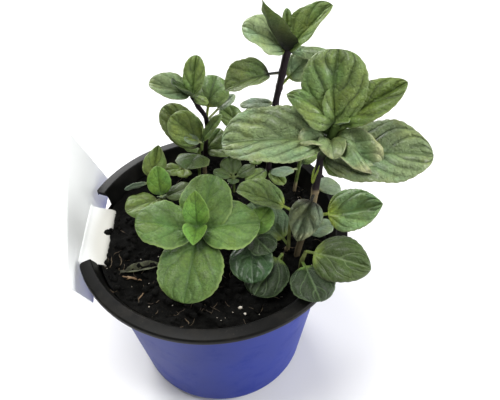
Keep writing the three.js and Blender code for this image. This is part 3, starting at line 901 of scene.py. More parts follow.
def leaf_faces(rows, columns, first):
    """Point numbers of both faces, which share the points along the margin and at the tip."""
    top = first + np.arange(rows * columns).reshape(rows, columns)
    under = np.array(top)
    inner = np.arange((rows - 1) * (columns - 2)).reshape(rows - 1, columns - 2)
    under[: rows - 1, 1:-1] = first + rows * columns + inner

    def quads(grid):
        corners = (grid[:-1, :-1], grid[1:, :-1], grid[1:, 1:], grid[:-1, 1:])
        return np.stack(corners, -1).reshape(-1, 4)

    cap = [(top[0, j], top[0, j + 1], under[0, j + 1], under[0, j]) for j in range(columns - 1)]
    cap = [tuple(dict.fromkeys(face)) for face in cap]
    return quads(top), quads(under)[:, ::-1], cap


def leaf_outline(leaf, blade_share, settings):
    """Half width at each row, with rounded teeth that fade out towards the root and the tip."""
    peak = leaf.base / (leaf.base + leaf.tip)
    full = peak**leaf.base * (1 - peak) ** leaf.tip
    shape = blade_share**leaf.base * (1 - blade_share) ** leaf.tip / full
    teeth = max(4, round(leaf.length / TOOTH_SPACING))
    notch = 1 - np.abs(np.sin(np.pi * teeth * blade_share))
    fade = smooth_step(blade_share, 0.15, 0.4) * (1 - smooth_step(blade_share, 0.9, 1.0))
    return leaf.width / 2 * shape * (1 - settings.tooth * notch * fade)


def blade_thickness(u, v, s, wide, stalk, blade):
    """Thickness of a leaf at each point: round at the stalk, and thinner towards the margin."""
    edge = np.clip((1 - np.abs(v)) * wide / EDGE_ROUND, 0, 1)
    stalky = np.clip(1 - u / (1.6 * stalk), 0, 1)
    lens = np.where(s <= 0, np.sqrt(np.clip(1 - v * v, 0, 1)), np.sqrt(edge * (2 - edge)))
    return (blade + (STALK_THICKNESS - blade) * stalky) * lens


def bending(leaf, whole, y):
    """The bend of a leaf along its length, as a function from the rise at each point to places."""
    bend = math.radians(leaf.droop or 0.1)
    arc = leaf.length * (bend / 2) / math.sin(bend / 2)
    angle = bend / 2 - bend * whole - math.radians(leaf.curl) * smooth_step(whole, 0.55, 1.0)
    steps = np.diff(whole) * arc
    mean = (angle[1:] + angle[:-1]) / 2
    x = np.concatenate([[0], np.cumsum(np.cos(mean) * steps)])
    z = np.concatenate([[0], np.cumsum(np.sin(mean) * steps)])

    def bent(rise):
        along = x[:, None] - np.sin(angle)[:, None] * rise
        return np.stack([along, y, z[:, None] + np.cos(angle)[:, None] * rise], -1)

    return bent


def leaf_surface(leaf, stalk, relief, settings, draw):
    """Both faces of a leaf in its own frame, the UVs of its veins, how far each point is along, and
    how far it stands out between the veins, which also sets the painted shade in the furrows. In the
    grid of points, u is the share of the whole length, s the share of the blade, and v the place
    across from -1 to 1."""
    whole, blade_share = blade_rows(leaf, stalk)
    across = blade_columns(leaf)
    half = np.maximum(leaf_outline(leaf, blade_share, settings), 0.05)
    root = smooth_step(blade_share, 0.0, 0.12)
    half = np.where(blade_share <= 0, STALK_HALF, np.maximum(half, STALK_HALF * (1 - root)))
    u, v = np.meshgrid(whole, across, indexing="ij")
    s = np.repeat(blade_share[:, None], len(across), 1)
    wide = np.repeat(half[:, None], len(across), 1)
    blade_length = leaf.length * (1 - stalk)
    size = min(1.0, blade_length / FULL_BLADE)
    gap = settings.vein_gap / MM * (0.55 + 0.45 * size)
    lean = min(0.38, leaf.width / 2 / blade_length) * (np.abs(v) + 0.8 * v * v)
    y = wide * v
    along = s * blade_length
    turns = [draw.uniform(0, 2 * math.pi) for _ in range(4)]
    uneven = 0.13 * np.sin(along / 5.5 + y / 9 + turns[0]) + 0.07 * np.sin(along / 2.1 - y / 3 + turns[1])
    phase = (s - lean) * blade_length / gap + 0.35 + 0.3 * (v > 0) + uneven
    bulge = (np.sin(np.pi * phase) ** 2 + 0.004) ** 0.22
    inside = smooth_step(s, 0.02, 0.2) * (1 - smooth_step(s, 0.88, 1.0)) * (1 - np.abs(v) ** 4)
    pucker = 0.5 + 0.5 * np.sin(along / 1.3 + 2 * np.sin(y / 2 + turns[2])) * np.sin(y / 1.2 + turns[3])
    quilt = (bulge + 0.14 * pucker) * inside * smooth_step(np.abs(v), 0.0, 0.3)
    quilt = quilt * settings.quilting / MM * (0.1 + 0.9 * size) * relief
    # From here bulge sets the painted shade in the furrows: none near the midrib and the margin, and more
    # on large leaves with deep relief.
    bulge = 1 - (1 - bulge) * smooth_step(np.abs(v), 0.0, 0.15) * (1 - np.abs(v) ** 4) * relief * size
    groove = GROOVE_DEPTH * np.exp(-((y / GROOVE_HALF) ** 2)) * smooth_step(s, 0.0, 0.1) * (1 - s)
    turn = draw.uniform(0, 2 * math.pi)
    waves = draw.uniform(1.2, 2.2)
    ripple = 0.035 * leaf.width * np.abs(v) ** 2.5 * np.sin(2 * np.pi * waves * s + turn * np.sign(v))
    ripple *= smooth_step(s, 0.05, 0.4)
    fold = FOLD * (np.sqrt(v * v + 0.004) - 0.063) + (leaf.cup - FOLD) * v * v
    if leaf.wilt:
        crumple = np.sin(along / 1.7 + turns[0] + 2 * np.sin(y / 2.4))
        crumple = crumple + np.sin(y / 1.4 + along / 3 + turns[1])
        ripple = ripple + leaf.wilt * 1.3 * crumple * smooth_step(s, 0.0, 0.25)
    thickness = blade_thickness(u, v, s, wide, stalk, settings.blade / MM)
    middle = wide * fold + quilt + ripple
    upper = middle - groove + thickness / 2
    under = middle - groove * 1.6 - thickness / 2
    bent = bending(leaf, whole, y)
    return bent(upper), bent(under), np.stack([phase, v], -1), s, bulge


def tinted(colour, amount):
    """A colour made lighter by a share of itself."""
    return np.clip(np.array(colour[:3]) * (1 + amount), 0, 1)


def leaf_colours(leaf, name, s, v, bulge, draw):
    """Colours by point of the upper face and the underside, darker in the furrows and lighter on the
    ridges as painted shade and light, and the colours of the veins and margin.
    """
    tone = TONES[name]
    light = draw.uniform(-0.1, 0.1)
    stalk = np.array(shade(*tone.stalk)[:3])
    # Near the root the blade takes the stalk's colour; where that is darker, it is partly painted shade at
    # the creased base.
    reach = (1 - smooth_step(s, 0.0, tone.reach * (1.3 - 0.6 * np.abs(v))))[..., None]
    brown = np.array(shade(*ROTTEN)[:3])
    straw = np.array(shade(*DRIED)[:3])
    made = []
    for face in (tone.upper, tone.under):
        base = tinted(shade(*face), light)
        blade = base + (stalk - base) * reach
        if leaf.wilt:
            patch = smooth_step(s + 0.3 * np.abs(v), 0.75, 1.0)[..., None] * leaf.wilt
            blade = blade + (straw - blade) * patch * 0.6
            rot = smooth_step(s - 0.25 * v, 0.96, 1.04)[..., None] * leaf.wilt
            blade = blade + (brown - blade) * rot * 0.7
        # Painted shade and light: the blade is darker in the furrows and a little lighter on the ridges.
        blade = blade * (0.6 + 0.46 * bulge)[..., None]
        made.append(np.concatenate([blade, np.full((*s.shape, 1), tone.shine)], -1))
    vein = np.append(tinted(shade(*tone.vein), light), tone.relief * min(1.0, leaf.length / FULL_LEAF))
    margin = tinted(shade(*tone.margin), light)
    return made, vein, margin


def leaf_matrix(leaf, root):
    """The place and turn of a leaf on its shoot."""
    return (
        Matrix.Translation(Vector(root))
        @ Matrix.Rotation(math.radians(leaf.azimuth), 4, "Z")
        @ Matrix.Rotation(-math.radians(leaf.pitch), 4, "Y")
        @ Matrix.Rotation(math.radians(leaf.roll), 4, "X")
    )


def add_leaf(parts, leaf, shoot, settings, draw):
    """A leaf with both faces, in material slots 0 and 1."""
    stalk_length = leaf.stalk or min(shoot.stalk, leaf.length / 4)
    tone = leaf.tone or shoot.tone
    upper, under, places, s, bulge = leaf_surface(
        leaf, stalk_length / leaf.length, TONES[tone].relief, settings, draw
    )
    matrix = np.array(leaf_matrix(leaf, shoot.nodes[leaf.node]))
    first = parts.add_points(both_faces(upper, under) @ matrix[:3, :3].T + matrix[:3, 3])
    blades, vein, margin = leaf_colours(leaf, tone, s, places[..., 1], bulge, draw)
    top_quads, under_quads, cap = leaf_faces(*s.shape, first)
    for quads, slot, blade in ((top_quads, 0, blades[0]), (under_quads, 1, blades[1])):
        look = (both_faces(blade, blade), vein, margin, both_faces(places, places), first)
        parts.add_faces(quads, slot, look)
    parts.add_faces(cap, 0, look)


def curve_points(path, steps):
    """A smooth curve through the path's points, with this many steps between two of them."""
    points = [Vector(p) for p in path]
    made = []
    for i in range(len(points) - 1):
        before = points[max(0, i - 1)]
        after = points[min(len(points) - 1, i + 2)]
        here, there = points[i], points[i + 1]
        for k in range(steps):
            t = k / steps
            made.append(
                0.5 * (2 * here + (there - before) * t + (2 * before - 5 * here + 4 * there - after) * t * t
                       + (3 * here - before - 3 * there + after) * t * t * t)
            )
    return made + [points[-1]]


def tube(path, radius_at, corner, sides):
    """Points and faces of a closed tube. corner is 2 for a round section and more for a squarer one."""
    centres = [Vector(p) for p in path]
    last = len(centres) - 1
    points = []
    for i, centre in enumerate(centres):
        along = (centres[min(i + 1, last)] - centres[max(i - 1, 0)]).normalized()
        first = Vector((1, 0, 0)) - along * along.x
        if first.length < 0.2:
            first = Vector((0, 1, 0)) - along * along.y
        first.normalize()
        second = along.cross(first)
        for c, s in ring(1, sides):
            reach = radius_at(i / last) / (abs(c) ** corner + abs(s) ** corner) ** (1 / corner)
            points.append(centre + first * (reach * c) + second * (reach * s))
    faces = ring_faces(len(centres), sides)
    faces.append(tuple(range(sides))[::-1])
    faces.append(tuple(range(last * sides, (last + 1) * sides)))
    return points, faces


def add_stem(parts, shoot):
    """The square stem of a shoot, in material slot 2, a little thicker at its nodes."""
    path = [(*shoot.foot, STEM_FOOT), (*shoot.foot, SOIL_LEVEL), *shoot.nodes]
    centres = curve_points(path, STEM_STEPS)
    count = len(centres) - 1

    def radius_at(share):
        node = share * count / STEM_STEPS
        swell = 1 + NODE_SWELL * max(0.0, 1 - abs(node - round(node)) * 5) * (node > 1.5)
        return (shoot.radii[0] + (shoot.radii[1] - shoot.radii[0]) * share) * STEM_HALF * swell

    points, faces = tube(centres, radius_at, STEM_CORNER, STEM_SIDES)
    first = parts.add_points([tuple(p) for p in points])
    young, fresh = (np.array(shade(*colour)[:3]) for colour in STEM_SHADES[shoot.stem])
    old = np.array(shade(*OLD_STEM)[:3])
    heights = np.array([p.z for p in points])
    top = shoot.nodes[-1][2]
    bare = BARE_TO[shoot.stem]
    colours = young + (old - young) * (1 - smooth_step(heights, bare - 3, bare))[:, None]
    colours = colours * (0.4 + 0.6 * smooth_step(heights, bare - 14, bare - 10))[:, None]
    colours = colours + (fresh - colours) * smooth_step(heights, top - 18, top - 10)[:, None]
    look = (colours, young, young, np.zeros((len(points), 2)), first)
    parts.add_faces([[p + first for p in face] for face in faces], 2, look)


def parts_mesh(name, parts):
    """The mesh of gathered parts, with its colours as attributes and its UVs."""
    mesh = bpy.data.meshes.new(name)
    points = np.concatenate(parts.points) * MM
    mesh.from_pydata(points.tolist(), [], parts.faces)
    corners = sum(len(face) for face in parts.faces)
    colours = {label: np.ones((corners, 4), np.float32) for label in ("blade", "vein", "margin")}
    uv = np.zeros((corners, 2), np.float32)
    at = 0
    for face, (blade, vein, margin, places, first) in zip(parts.faces, parts.looks):
        rows = [p - first for p in face]
        end = at + len(face)
        colours["blade"][at:end, : blade.shape[1]] = blade[rows]
        colours["vein"][at:end, : len(vein)] = vein
        colours["margin"][at:end, :3] = margin
        uv[at:end] = places[rows]
        at = end
    for label, values in colours.items():
        layer = mesh.color_attributes.new(name=label + "_colour", type="FLOAT_COLOR", domain="CORNER")
        layer.data.foreach_set("color", values.ravel())
    mesh.uv_layers.new(name="veins").data.foreach_set("uv", uv.ravel())
    mesh.polygons.foreach_set("material_index", parts.slots)
    smooth(mesh, sharp_from=60)
    return mesh


class MINT_OT_shoots(bpy.types.Operator):
    """Grow the leafy stems in place of their plain solids"""

    bl_idname = "mint.shoots"
    bl_label = "Grow Shoots"

    def execute(self, context):
        settings = context.scene.mint_leaf
        materials = [
            blade_material("leaf_upper", 0.45, 0.5, 0.1, 0.42),
            blade_material("leaf_underside", 0.6, 0.3, 0.18, -0.3),
            stem_material(),
        ]
        for number, (name, shoot) in enumerate(SHOOTS.items()):
            parts = Parts()
            draw = random.Random(settings.seed * 100 + number)
            add_stem(parts, shoot)
            for leaf in shoot.leaves:
                add_leaf(parts, leaf, shoot, settings, draw)
            label = name.replace("shoot_", "mint_")
            link(label, parts_mesh(label, parts), materials, [name])
        return {"FINISHED"}


def wall_radius(z):
    """Radius of the pot wall's outer face at a height below the rim."""
    return BASE_RADIUS + (SHOULDER_RADIUS - BASE_RADIUS) * z / POT_TOP


def arc_points(centre, radius, start, end, steps):
    """Points of an arc in the plane of radius and height, in degrees from straight out."""
    made = []
    for k in range(steps + 1):
        turn = math.radians(start + (end - start) * k / steps)
        made.append((centre[0] + radius * math.cos(turn), centre[1] + radius * math.sin(turn)))
    return made


def pot_profile():
    """The wall's outline as (radius, height), and the number of points on its outer side."""
    top = POT_TOP
    skirt = top - RIM_FALL - SKIRT_DROP
    flat = wall_radius(BASE_CORNER) - BASE_CORNER
    under = top - RIM_FALL - WALL
    outside = [(0, 0)] + arc_points((flat, BASE_CORNER), BASE_CORNER, -90, -4, 14)
    outside += [(wall_radius(under - 3), under - 3)]
    outside += arc_points((wall_radius(under) + RIM_BEND, under - RIM_BEND), RIM_BEND, 180, 90, 4)
    corner = (RIM_RADIUS - WALL - SKIRT_FILLET, under - SKIRT_FILLET)
    outside += arc_points(corner, SKIRT_FILLET, 90, 0, 4)
    outside += [(RIM_RADIUS - WALL, skirt + 0.9)]
    edge = arc_points((RIM_RADIUS - WALL / 2, skirt + WALL / 2), WALL / 2, 180, 360, 6)
    crest = (RIM_RADIUS - RIM_ROUND, top - RIM_FALL - RIM_SINK)
    inside = arc_points(crest, RIM_ROUND, 0, 78, 7)
    inside += arc_points((LIP_RADIUS, top - LIP_ROUND), LIP_ROUND, 80, 170, 7)
    inside += [(SHOULDER_RADIUS - WALL, top - 4), (wall_radius(BASE_CORNER) - WALL, BASE_CORNER + WALL)]
    inside += [(flat, FLOOR), (0, FLOOR)]
    return outside + edge + inside, len(outside) + 2


def turned_mesh(name, outline, split, segments):
    """A closed turned body. Faces after the split-th point go in material slot 1."""
    rings = outline[1:-1]
    points = [(x, y, z) for r, z in rings for x, y in ring(r, segments)]
    faces = ring_faces(len(rings), segments)
    slots = [int(i + 1 >= split) for i in range(len(rings) - 1) for _ in range(segments)]
    bottom, top = len(points), len(points) + 1
    points += [(0, 0, outline[0][1]), (0, 0, outline[-1][1])]
    last = (len(rings) - 1) * segments
    for k in range(segments):
        after = (k + 1) % segments
        faces += [(bottom, after, k), (top, last + k, last + after)]
        slots += [0, 1]
    mesh = plain_mesh(name, points, faces, sharp_from=40)
    mesh.polygons.foreach_set("material_index", slots)
    return mesh


def prism(name, outline, low, high):
    """A closed prism over an outline of (x, y) points."""
    count = len(outline)
    points = [(x, y, z) for z in (low, high) for x, y in outline]
    ends = [tuple(range(count))[::-1], tuple(range(count, 2 * count))]
    return flat_mesh(name, points, ends + ring_faces(2, count))


def notch_outline():
    """Plan of the notch: a wedge whose ends on the rim are rounded off."""
    points = [(0.0, 0.0)]
    for azimuth, side in ((NOTCH_FROM, -1), (NOTCH_TO, 1)):
        reaches = []
        for k in range(NOTCH_STEPS + 1):
            share = k / NOTCH_STEPS
            flare = NOTCH_ROUND * (1 - math.sqrt(1 - share * share)) / RIM_RADIUS
            reaches.append((RIM_RADIUS - NOTCH_ROUND * (1 - share), flare))
        reaches.append((RIM_RADIUS + NOTCH_REACH, NOTCH_ROUND / RIM_RADIUS))
        edge = [spun(radius, 0, math.radians(azimuth) + side * flare) for radius, flare in reaches]
        points += edge if side < 0 else edge[::-1]
    return points


def channel_outline(turn):
    """Plan of the channel that leads from a drain hole to the pot's edge."""
    half = CHANNEL_WIDTH / 2
    corners = ((CHANNEL_FROM, -half), (CHANNEL_TO, -half), (CHANNEL_TO, half), (CHANNEL_FROM, half))
    return [spun(x, y, turn) for x, y in corners]


def apply_modifiers(piece):
    """Replaces a piece's mesh by the one that its modifiers give."""
    graph = bpy.context.evaluated_depsgraph_get()
    made = bpy.data.meshes.new_from_object(piece.evaluated_get(graph))
    piece.modifiers.clear()
    piece.data = made


def cut(piece, mesh):
    """Cuts a closed mesh out of a piece."""
    cutter = add_object(mesh.name, mesh)
    boolean = piece.modifiers.new("cut", "BOOLEAN")
    boolean.operation = "DIFFERENCE"
    boolean.solver = "EXACT"
    boolean.object = cutter
    apply_modifiers(piece)
    bpy.data.objects.remove(cutter)


def plastic_material(name, colour, roughness, dust, waviness):
    """Moulded plastic with faint unevenness, and dust as the given share."""
    material, wires, shader = new_material(name)
    place = wires.place()
    plain = wires.mottled(tuple(colour), place, scale=35.0, strength=0.06)
    specks = wires.ramp(wires.noise(900.0, 4.0, place, 0.7), 0.62, 0.78)
    film = wires.ramp(wires.noise(60.0, 5.0, place, 0.65), 0.45, 0.8)
    cover = wires.maths("MULTIPLY", wires.maths("ADD", specks, wires.times(film, 0.35)), dust, True)
    ripples = wires.times(wires.noise(25.0, 1.0, place), waviness)
    grain = wires.times(wires.noise(2200.0, 2.0, place), 0.12)
    wires.feed(
        shader,
        Base_Color=wires.mix(cover, plain, shade(122, 114, 102)),
        Roughness=wires.maths("ADD", wires.times(film, 0.16), roughness),
        Specular_IOR_Level=0.12,
        Normal=wires.bump(wires.maths("ADD", ripples, grain), strength=0.25, distance=0.2),
    )
    return material


class MINT_OT_pot(bpy.types.Operator):
    """Make the thin two-tone pot with its notch and drains"""

    bl_idname = "mint.pot"
    bl_label = "Make Pot"

    def execute(self, context):
        settings = context.scene.mint_pot
        materials = [
            plastic_material("pot_outside", settings.outside, settings.roughness, 0.05, 1.5),
            plastic_material("pot_inside", settings.inside, settings.roughness, 0.2, 1.0),
        ]
        mesh = turned_mesh("nursery_pot", *pot_profile(), POT_SIDES)
        pot = link("nursery_pot", mesh, materials, ["pot"])
        notch = prism("notch", notch_outline(), NOTCH_BOTTOM, POT_TOP + 5)
        notch.polygons.foreach_set("material_index", [1] * len(notch.polygons))
        cut(pot, notch)
        for i in range(DRAIN_COUNT):
            turn = 2 * math.pi * (i + 0.5) / DRAIN_COUNT
            hole = ring(DRAIN_RADIUS, DRAIN_SIDES, *spun(DRAIN_CENTRE, 0, turn))
            cut(pot, prism("drain", hole, BELOW_FLOOR, 3 * FLOOR))
            cut(pot, prism("channel", channel_outline(turn), BELOW_FLOOR, CHANNEL_DEPTH))
        smooth(pot.data, sharp_from=35)
        return {"FINISHED"}


def soil_height(x, y, clods):
    """Height of the soil's top: the solid's low mounds with clods and grains on them."""
    broad = math.sin(x / 7 + 1) * math.cos(y / 9)
    slanting = math.sin((x + y) / 4.5) + math.cos((x - 2 * y) / 6)
    level = SOIL_LEVEL + SOIL_RELIEF * (broad + slanting / 2)
    place = Vector((x, y, 0))
    lumps = noise.noise(place / 4.2) + 0.55 * noise.noise(place / 1.7) + 0.3 * noise.noise(place / 0.8)
    return level + clods * lumps


def soil_mesh(clods):
    """A closed body of soil: a dense uneven top, and plain sides and bottom inside the pot."""
    edge = wall_radius(SOIL_LEVEL) - WALL - SOIL_GAP
    corner = wall_radius(BASE_CORNER) - WALL - SOIL_GAP
    points = [(0, 0, soil_height(0, 0, clods))]
    for i in range(1, SOIL_RINGS + 1):
        points += [(x, y, soil_height(x, y, clods)) for x, y in ring(edge * i / SOIL_RINGS, SOIL_SIDES)]
    sides = (
        (edge - 0.2, SOIL_LEVEL - 3),
        (corner, BASE_CORNER + WALL + 1),
        (corner - BASE_CORNER, FLOOR + SOIL_GAP),
    )
    points += [(x, y, z) for r, z in sides for x, y in ring(r, SOIL_SIDES)]
    rings = SOIL_RINGS + len(sides)
    faces = [(0, 1 + k, 1 + (k + 1) % SOIL_SIDES) for k in range(SOIL_SIDES)]
    faces += [(a, d, c, b) for a, b, c, d in ring_faces(rings, SOIL_SIDES, 1)]
    last = 1 + (rings - 1) * SOIL_SIDES
    faces.append(tuple(range(last, last + SOIL_SIDES))[::-1])
    return plain_mesh("soil_bed", points, faces, sharp_from=75)


def soil_material(name, colour):
    """Damp peaty soil: dark, with lighter and browner grains."""
    material, wires, shader = new_material(name)
    place = wires.place()
    plain = wires.mottled(tuple(colour), place, scale=260.0, strength=0.45)
    grains = wires.ramp(wires.noise(1100.0, 4.0, place, 0.7), 0.55, 0.75, 0.0, 0.3)
    wires.feed(
        shader,
        Base_Color=wires.mix(grains, plain, shade(58, 52, 42)),
        Roughness=wires.ramp(wires.noise(90.0, 2.0, place), 0.3, 0.7, 0.7, 0.95),
        Specular_IOR_Level=0.06,
        Normal=wires.bump(wires.noise(1500.0, 4.0, place, 0.75), strength=0.9, distance=0.5),
    )
    return material


class MINT_OT_soil(bpy.types.Operator):
    """Fill the pot with uneven soil"""

    bl_idname = "mint.soil"
    bl_label = "Fill Soil"

    def execute(self, context):
        settings = context.scene.mint_soil
        mesh = soil_mesh(settings.clod_height / MM)
        link("soil_bed", mesh, [soil_material("damp_soil", settings.colour)], ["soil"])
        return {"FINISHED"}


def soil_spot(draw):
    """A random place on the soil, even over its area: (x, y)."""
    r = math.sqrt(draw.uniform(SPOTS_FROM**2, SPOTS_TO**2))
    turn = draw.uniform(0, 2 * math.pi)
    return r * math.cos(turn), r * math.sin(turn)


def lump(draw, size, rough):
    """A small rough lump: points round the origin, and faces."""
    shape = bmesh.new()
    bmesh.ops.create_icosphere(shape, subdivisions=2 if size > 1.2 else 1, radius=1)
    shift = Vector([draw.uniform(0, 50) for _ in range(3)])
    stretch = Vector([draw.uniform(low, high) for low, high in ((0.7, 1.3), (0.7, 1.3), (0.5, 0.9))])
    points = []
    for vertex in shape.verts:
        swell = 1 + rough * noise.noise(vertex.co * 1.3 + shift)
        points.append(tuple(vertex.co[k] * stretch[k] * size * swell for k in range(3)))
    faces = [tuple(v.index for v in face.verts) for face in shape.faces]
    shape.free()
    return points, faces


def lying(shape, x, y, clods, rise, turn):
    """A shape of (points, faces), turned and set on the soil."""
    points, faces = shape
    level = soil_height(x, y, clods) + rise
    placed = []
    for px, py, pz in points:
        turned_x, turned_y = spun(px, py, turn)
        placed.append((turned_x + x, turned_y + y, pz + level))
    return placed, faces


def strand(draw, clods, x, y, length, radius, turn, wobble, sides=5, steps=7):
    """A thin strand that lies along the soil."""
    path = []
    heading = turn
    for k in range(steps + 1):
        path.append((x, y, soil_height(x, y, clods) + radius * draw.uniform(0.6, 1.6)))
        heading += draw.uniform(-wobble, wobble)
        x += length / steps * math.cos(heading)
        y += length / steps * math.sin(heading)
    points, faces = tube(path, lambda share: radius * (1 - 0.7 * abs(2 * share - 1) ** 3), 2, sides)
    return [tuple(p) for p in points], faces


def gathered_mesh(name, items, sharp_from=80):
    """One mesh of many (points, faces) items."""
    points, faces = [], []
    for item_points, item_faces in items:
        first = len(points)
        points += item_points
        faces += [tuple(p + first for p in face) for face in item_faces]
    return plain_mesh(name, points, faces, sharp_from)


def litter_material(name, low, high, roughness):
    """Dry plant litter or mineral, from one colour to another in spots."""
    material, wires, shader = new_material(name)
    place = wires.place()
    spots = wires.ramp(wires.noise(500.0, 3.0, place), 0.35, 0.65)
    wires.feed(
        shader,
        Base_Color=wires.mix(spots, shade(*low), shade(*high)),
        Roughness=roughness,
        Normal=wires.bump(wires.noise(1800.0, 3.0, place), strength=0.5, distance=0.2),
    )
    return material


def fallen_leaf(settings, clods):
    """A withered leaf, folded narrow, that lies on the soil."""
    x, y, length, width, azimuth = FALLEN_LEAF
    leaf = Leaf(0, azimuth, 0, length, width, -12, 0, 0.9)
    draw = random.Random(FALLEN_SEED)
    upper, under, _, s, _ = leaf_surface(leaf, FALLEN_STALK, 1.0, settings, draw)
    top_quads, under_quads, cap = leaf_faces(*s.shape, 0)
    faces = [tuple(int(p) for p in face) for face in (*top_quads, *under_quads, *cap)]
    return lying((both_faces(upper, under).tolist(), faces), x, y, clods, 1.0, math.radians(azimuth))


class MINT_OT_litter(bpy.types.Operator):
    """Scatter crumbs, fibres, grains, straw and a withered leaf on the soil"""

    bl_idname = "mint.litter"
    bl_label = "Scatter Litter"

    def execute(self, context):
        settings = context.scene.mint_soil
        clods = settings.clod_height / MM
        draw = random.Random(settings.seed)
        crumbs = []
        for _ in range(settings.crumbs):
            x, y = soil_spot(draw)
            size = draw.uniform(0.35, 1.0) ** 2 * CRUMB_SIZE
            crumb = lump(draw, size, 0.7)
            crumbs.append(lying(crumb, x, y, clods, size * 0.2, draw.uniform(0, ANY_TURN)))
        fibres = []
        for _ in range(settings.fibres):
            x, y = soil_spot(draw)
            length, radius = draw.uniform(2.5, 7), draw.uniform(0.1, 0.22)
            fibres.append(strand(draw, clods, x, y, length, radius, draw.uniform(0, ANY_TURN), 0.5))
        grains = []
        for _ in range(settings.flecks):
            x, y = soil_spot(draw)
            size = draw.uniform(0.15, 0.42)
            grain = lump(draw, size, 0.6)
            grains.append(lying(grain, x, y, clods, size * 0.8, draw.uniform(0, ANY_TURN)))
        grains += [lying(lump(draw, 0.8, 0.5), x, y, clods, 0.5, 0.4) for x, y in WHITE_GRAINS]
        straws = [
            strand(draw, clods, x, y, length, radius, math.radians(azimuth), 0.08, 8, 10)
            for x, y, length, azimuth, radius in STRAWS
        ]
        crumb_colour = (*tinted(settings.colour, 0.25), 1)
        brown = litter_material("peat_fibre", (52, 42, 32), (96, 82, 62), 0.8)
        chalk = litter_material("white_grain", (206, 200, 188), (168, 158, 140), 0.75)
        straw = litter_material("dry_straw", (108, 84, 58), (132, 108, 78), 0.7)
        for name, items, material in (
            ("soil_crumbs", crumbs, soil_material("soil_crumb", crumb_colour)),
            ("peat_fibres", fibres, brown),
            ("white_grains", grains, chalk),
            ("straw_bits", straws, straw),
        ):
            link(name, gathered_mesh(name, items), [material])
        points, faces = fallen_leaf(context.scene.mint_leaf, clods)
        mesh = plain_mesh("fallen_leaf", points, faces, sharp_from=60)
        withered = litter_material("withered_leaf", (76, 80, 54), (50, 50, 36), 0.8)
        link("fallen_leaf", mesh, [withered])
        return {"FINISHED"}


def label_frame():
    """Directions of the label: out from the axis, across towards the front, up the lean, and out of
    the panel's inner face."""
    out = Vector((*spun(1, 0, math.radians(LABEL_AZIMUTH)), 0))
    across = UP.cross(out)
    lean = out * math.cos(math.radians(LABEL_LEAN)) + UP * math.sin(math.radians(LABEL_LEAN))
    return out, across, lean, across.cross(lean)


def label_point(across_by, up_by, bow):
    """A point of the panel, which bows a little between its ends."""
    out, across, lean, face = label_frame()
    (left, top), (right, _) = LABEL_TOP
    share = (across_by - left) / (right - left)
    rise = (up_by - LABEL_FOLD) / (top - LABEL_FOLD)
    swell = bow * (math.sin(math.pi * share) * 0.5 + 0.5 * rise**2)
    fold = out * LABEL_DISTANCE + UP * LABEL_LEVEL
    return fold + across * across_by + lean * up_by + face * swell


def strip(columns, rows, point_at):
    """Grid of points and its faces: point_at(share across, share up)."""
    points = [tuple(point_at(i, j)) for j in rows for i in columns]
    wide = len(columns)
    corners = [j * wide + i for j in range(len(rows) - 1) for i in range(wide - 1)]
    return points, [(a, a + 1, a + 1 + wide, a + wide) for a in corners]


def label_sheet(bow):
    """The card cut in one piece: panel, two flaps and the tongue that bends over the wall."""
    low, high = LABEL_WAIST
    tongue_from, tongue_to = TONGUE_ACROSS
    even = np.linspace(0, 1, 25).round(4)
    shares = sorted({0, 1, *even, *[(a - low) / (high - low) for a in TONGUE_ACROSS]})

    def between(start, end):
        """Shares of the waist between two places."""
        return [s for s in shares if start - 0.01 <= low + (high - low) * s <= end + 0.01]

    def panel(share, rise):
        foot = low + (high - low) * share
        head = LABEL_TOP[0][0] + (LABEL_TOP[1][0] - LABEL_TOP[0][0]) * share
        top = LABEL_TOP[0][1] + (LABEL_TOP[1][1] - LABEL_TOP[0][1]) * share
        return label_point(foot + (head - foot) * rise, LABEL_FOLD + (top - LABEL_FOLD) * rise, bow)

    items = [strip(shares, np.linspace(0, 1, 13), panel)]
    for corners, start, end in ((LEFT_FLAP, low, tongue_from), (RIGHT_FLAP, tongue_to, high)):

        def flap(share, rise, a=Vector(corners[0]), b=Vector(corners[1]), start=start, end=end):
            at = low + (high - low) * share
            foot = a + (b - a) * ((at - start) / (end - start))
            across_by = foot.x + (at - foot.x) * rise
            return label_point(across_by, foot.y + (LABEL_FOLD - foot.y) * rise, bow)

        items.append(strip(between(start, end), np.linspace(0, 1, 5), flap))
    out, across, _, _ = label_frame()
    bend = curve_points([(r, 0, z) for r, z in TONGUE_PATH], 6)

    def tongue(share, step):
        at = low + (high - low) * share
        if step == 0:
            return label_point(at, LABEL_FOLD, bow)
        taper = 1 - TONGUE_TAPER * step / len(bend)
        return across * at * taper + out * bend[step].x + UP * bend[step].z

    points, faces = strip(between(tongue_from, tongue_to), range(len(bend)), tongue)
    items.append((points, [face[::-1] for face in faces]))
    return items


def card_material(colour):
    """Smooth coated card with a faint fibre, greyer where its tongue is damp from the soil."""
    material, wires, shader = new_material("label_card")
    place = wires.place()
    plain = wires.mottled(tuple(colour), place, scale=30.0, strength=0.02)
    level = wires.node("ShaderNodeVectorMath", operation="MULTIPLY")
    wires.join(place, level.inputs[0])
    wires.join((1, 1, 0), level.inputs[1])
    distance = wires.node("ShaderNodeVectorMath", operation="LENGTH")
    wires.join(level.outputs[0], distance.inputs[0])
    damp = wires.ramp(distance.outputs["Value"], DAMP_FROM * MM, DAMP_TO * MM, 1.0, 0.0)
    wires.feed(
        shader,
        Base_Color=wires.mix(damp, plain, shade(206, 205, 198)),
        Roughness=wires.ramp(wires.noise(200.0, 2.0, place), 0.3, 0.7, 0.4, 0.52),
        Normal=wires.bump(wires.noise(2500.0, 3.0, place), strength=0.08, distance=0.1),
    )
    return material


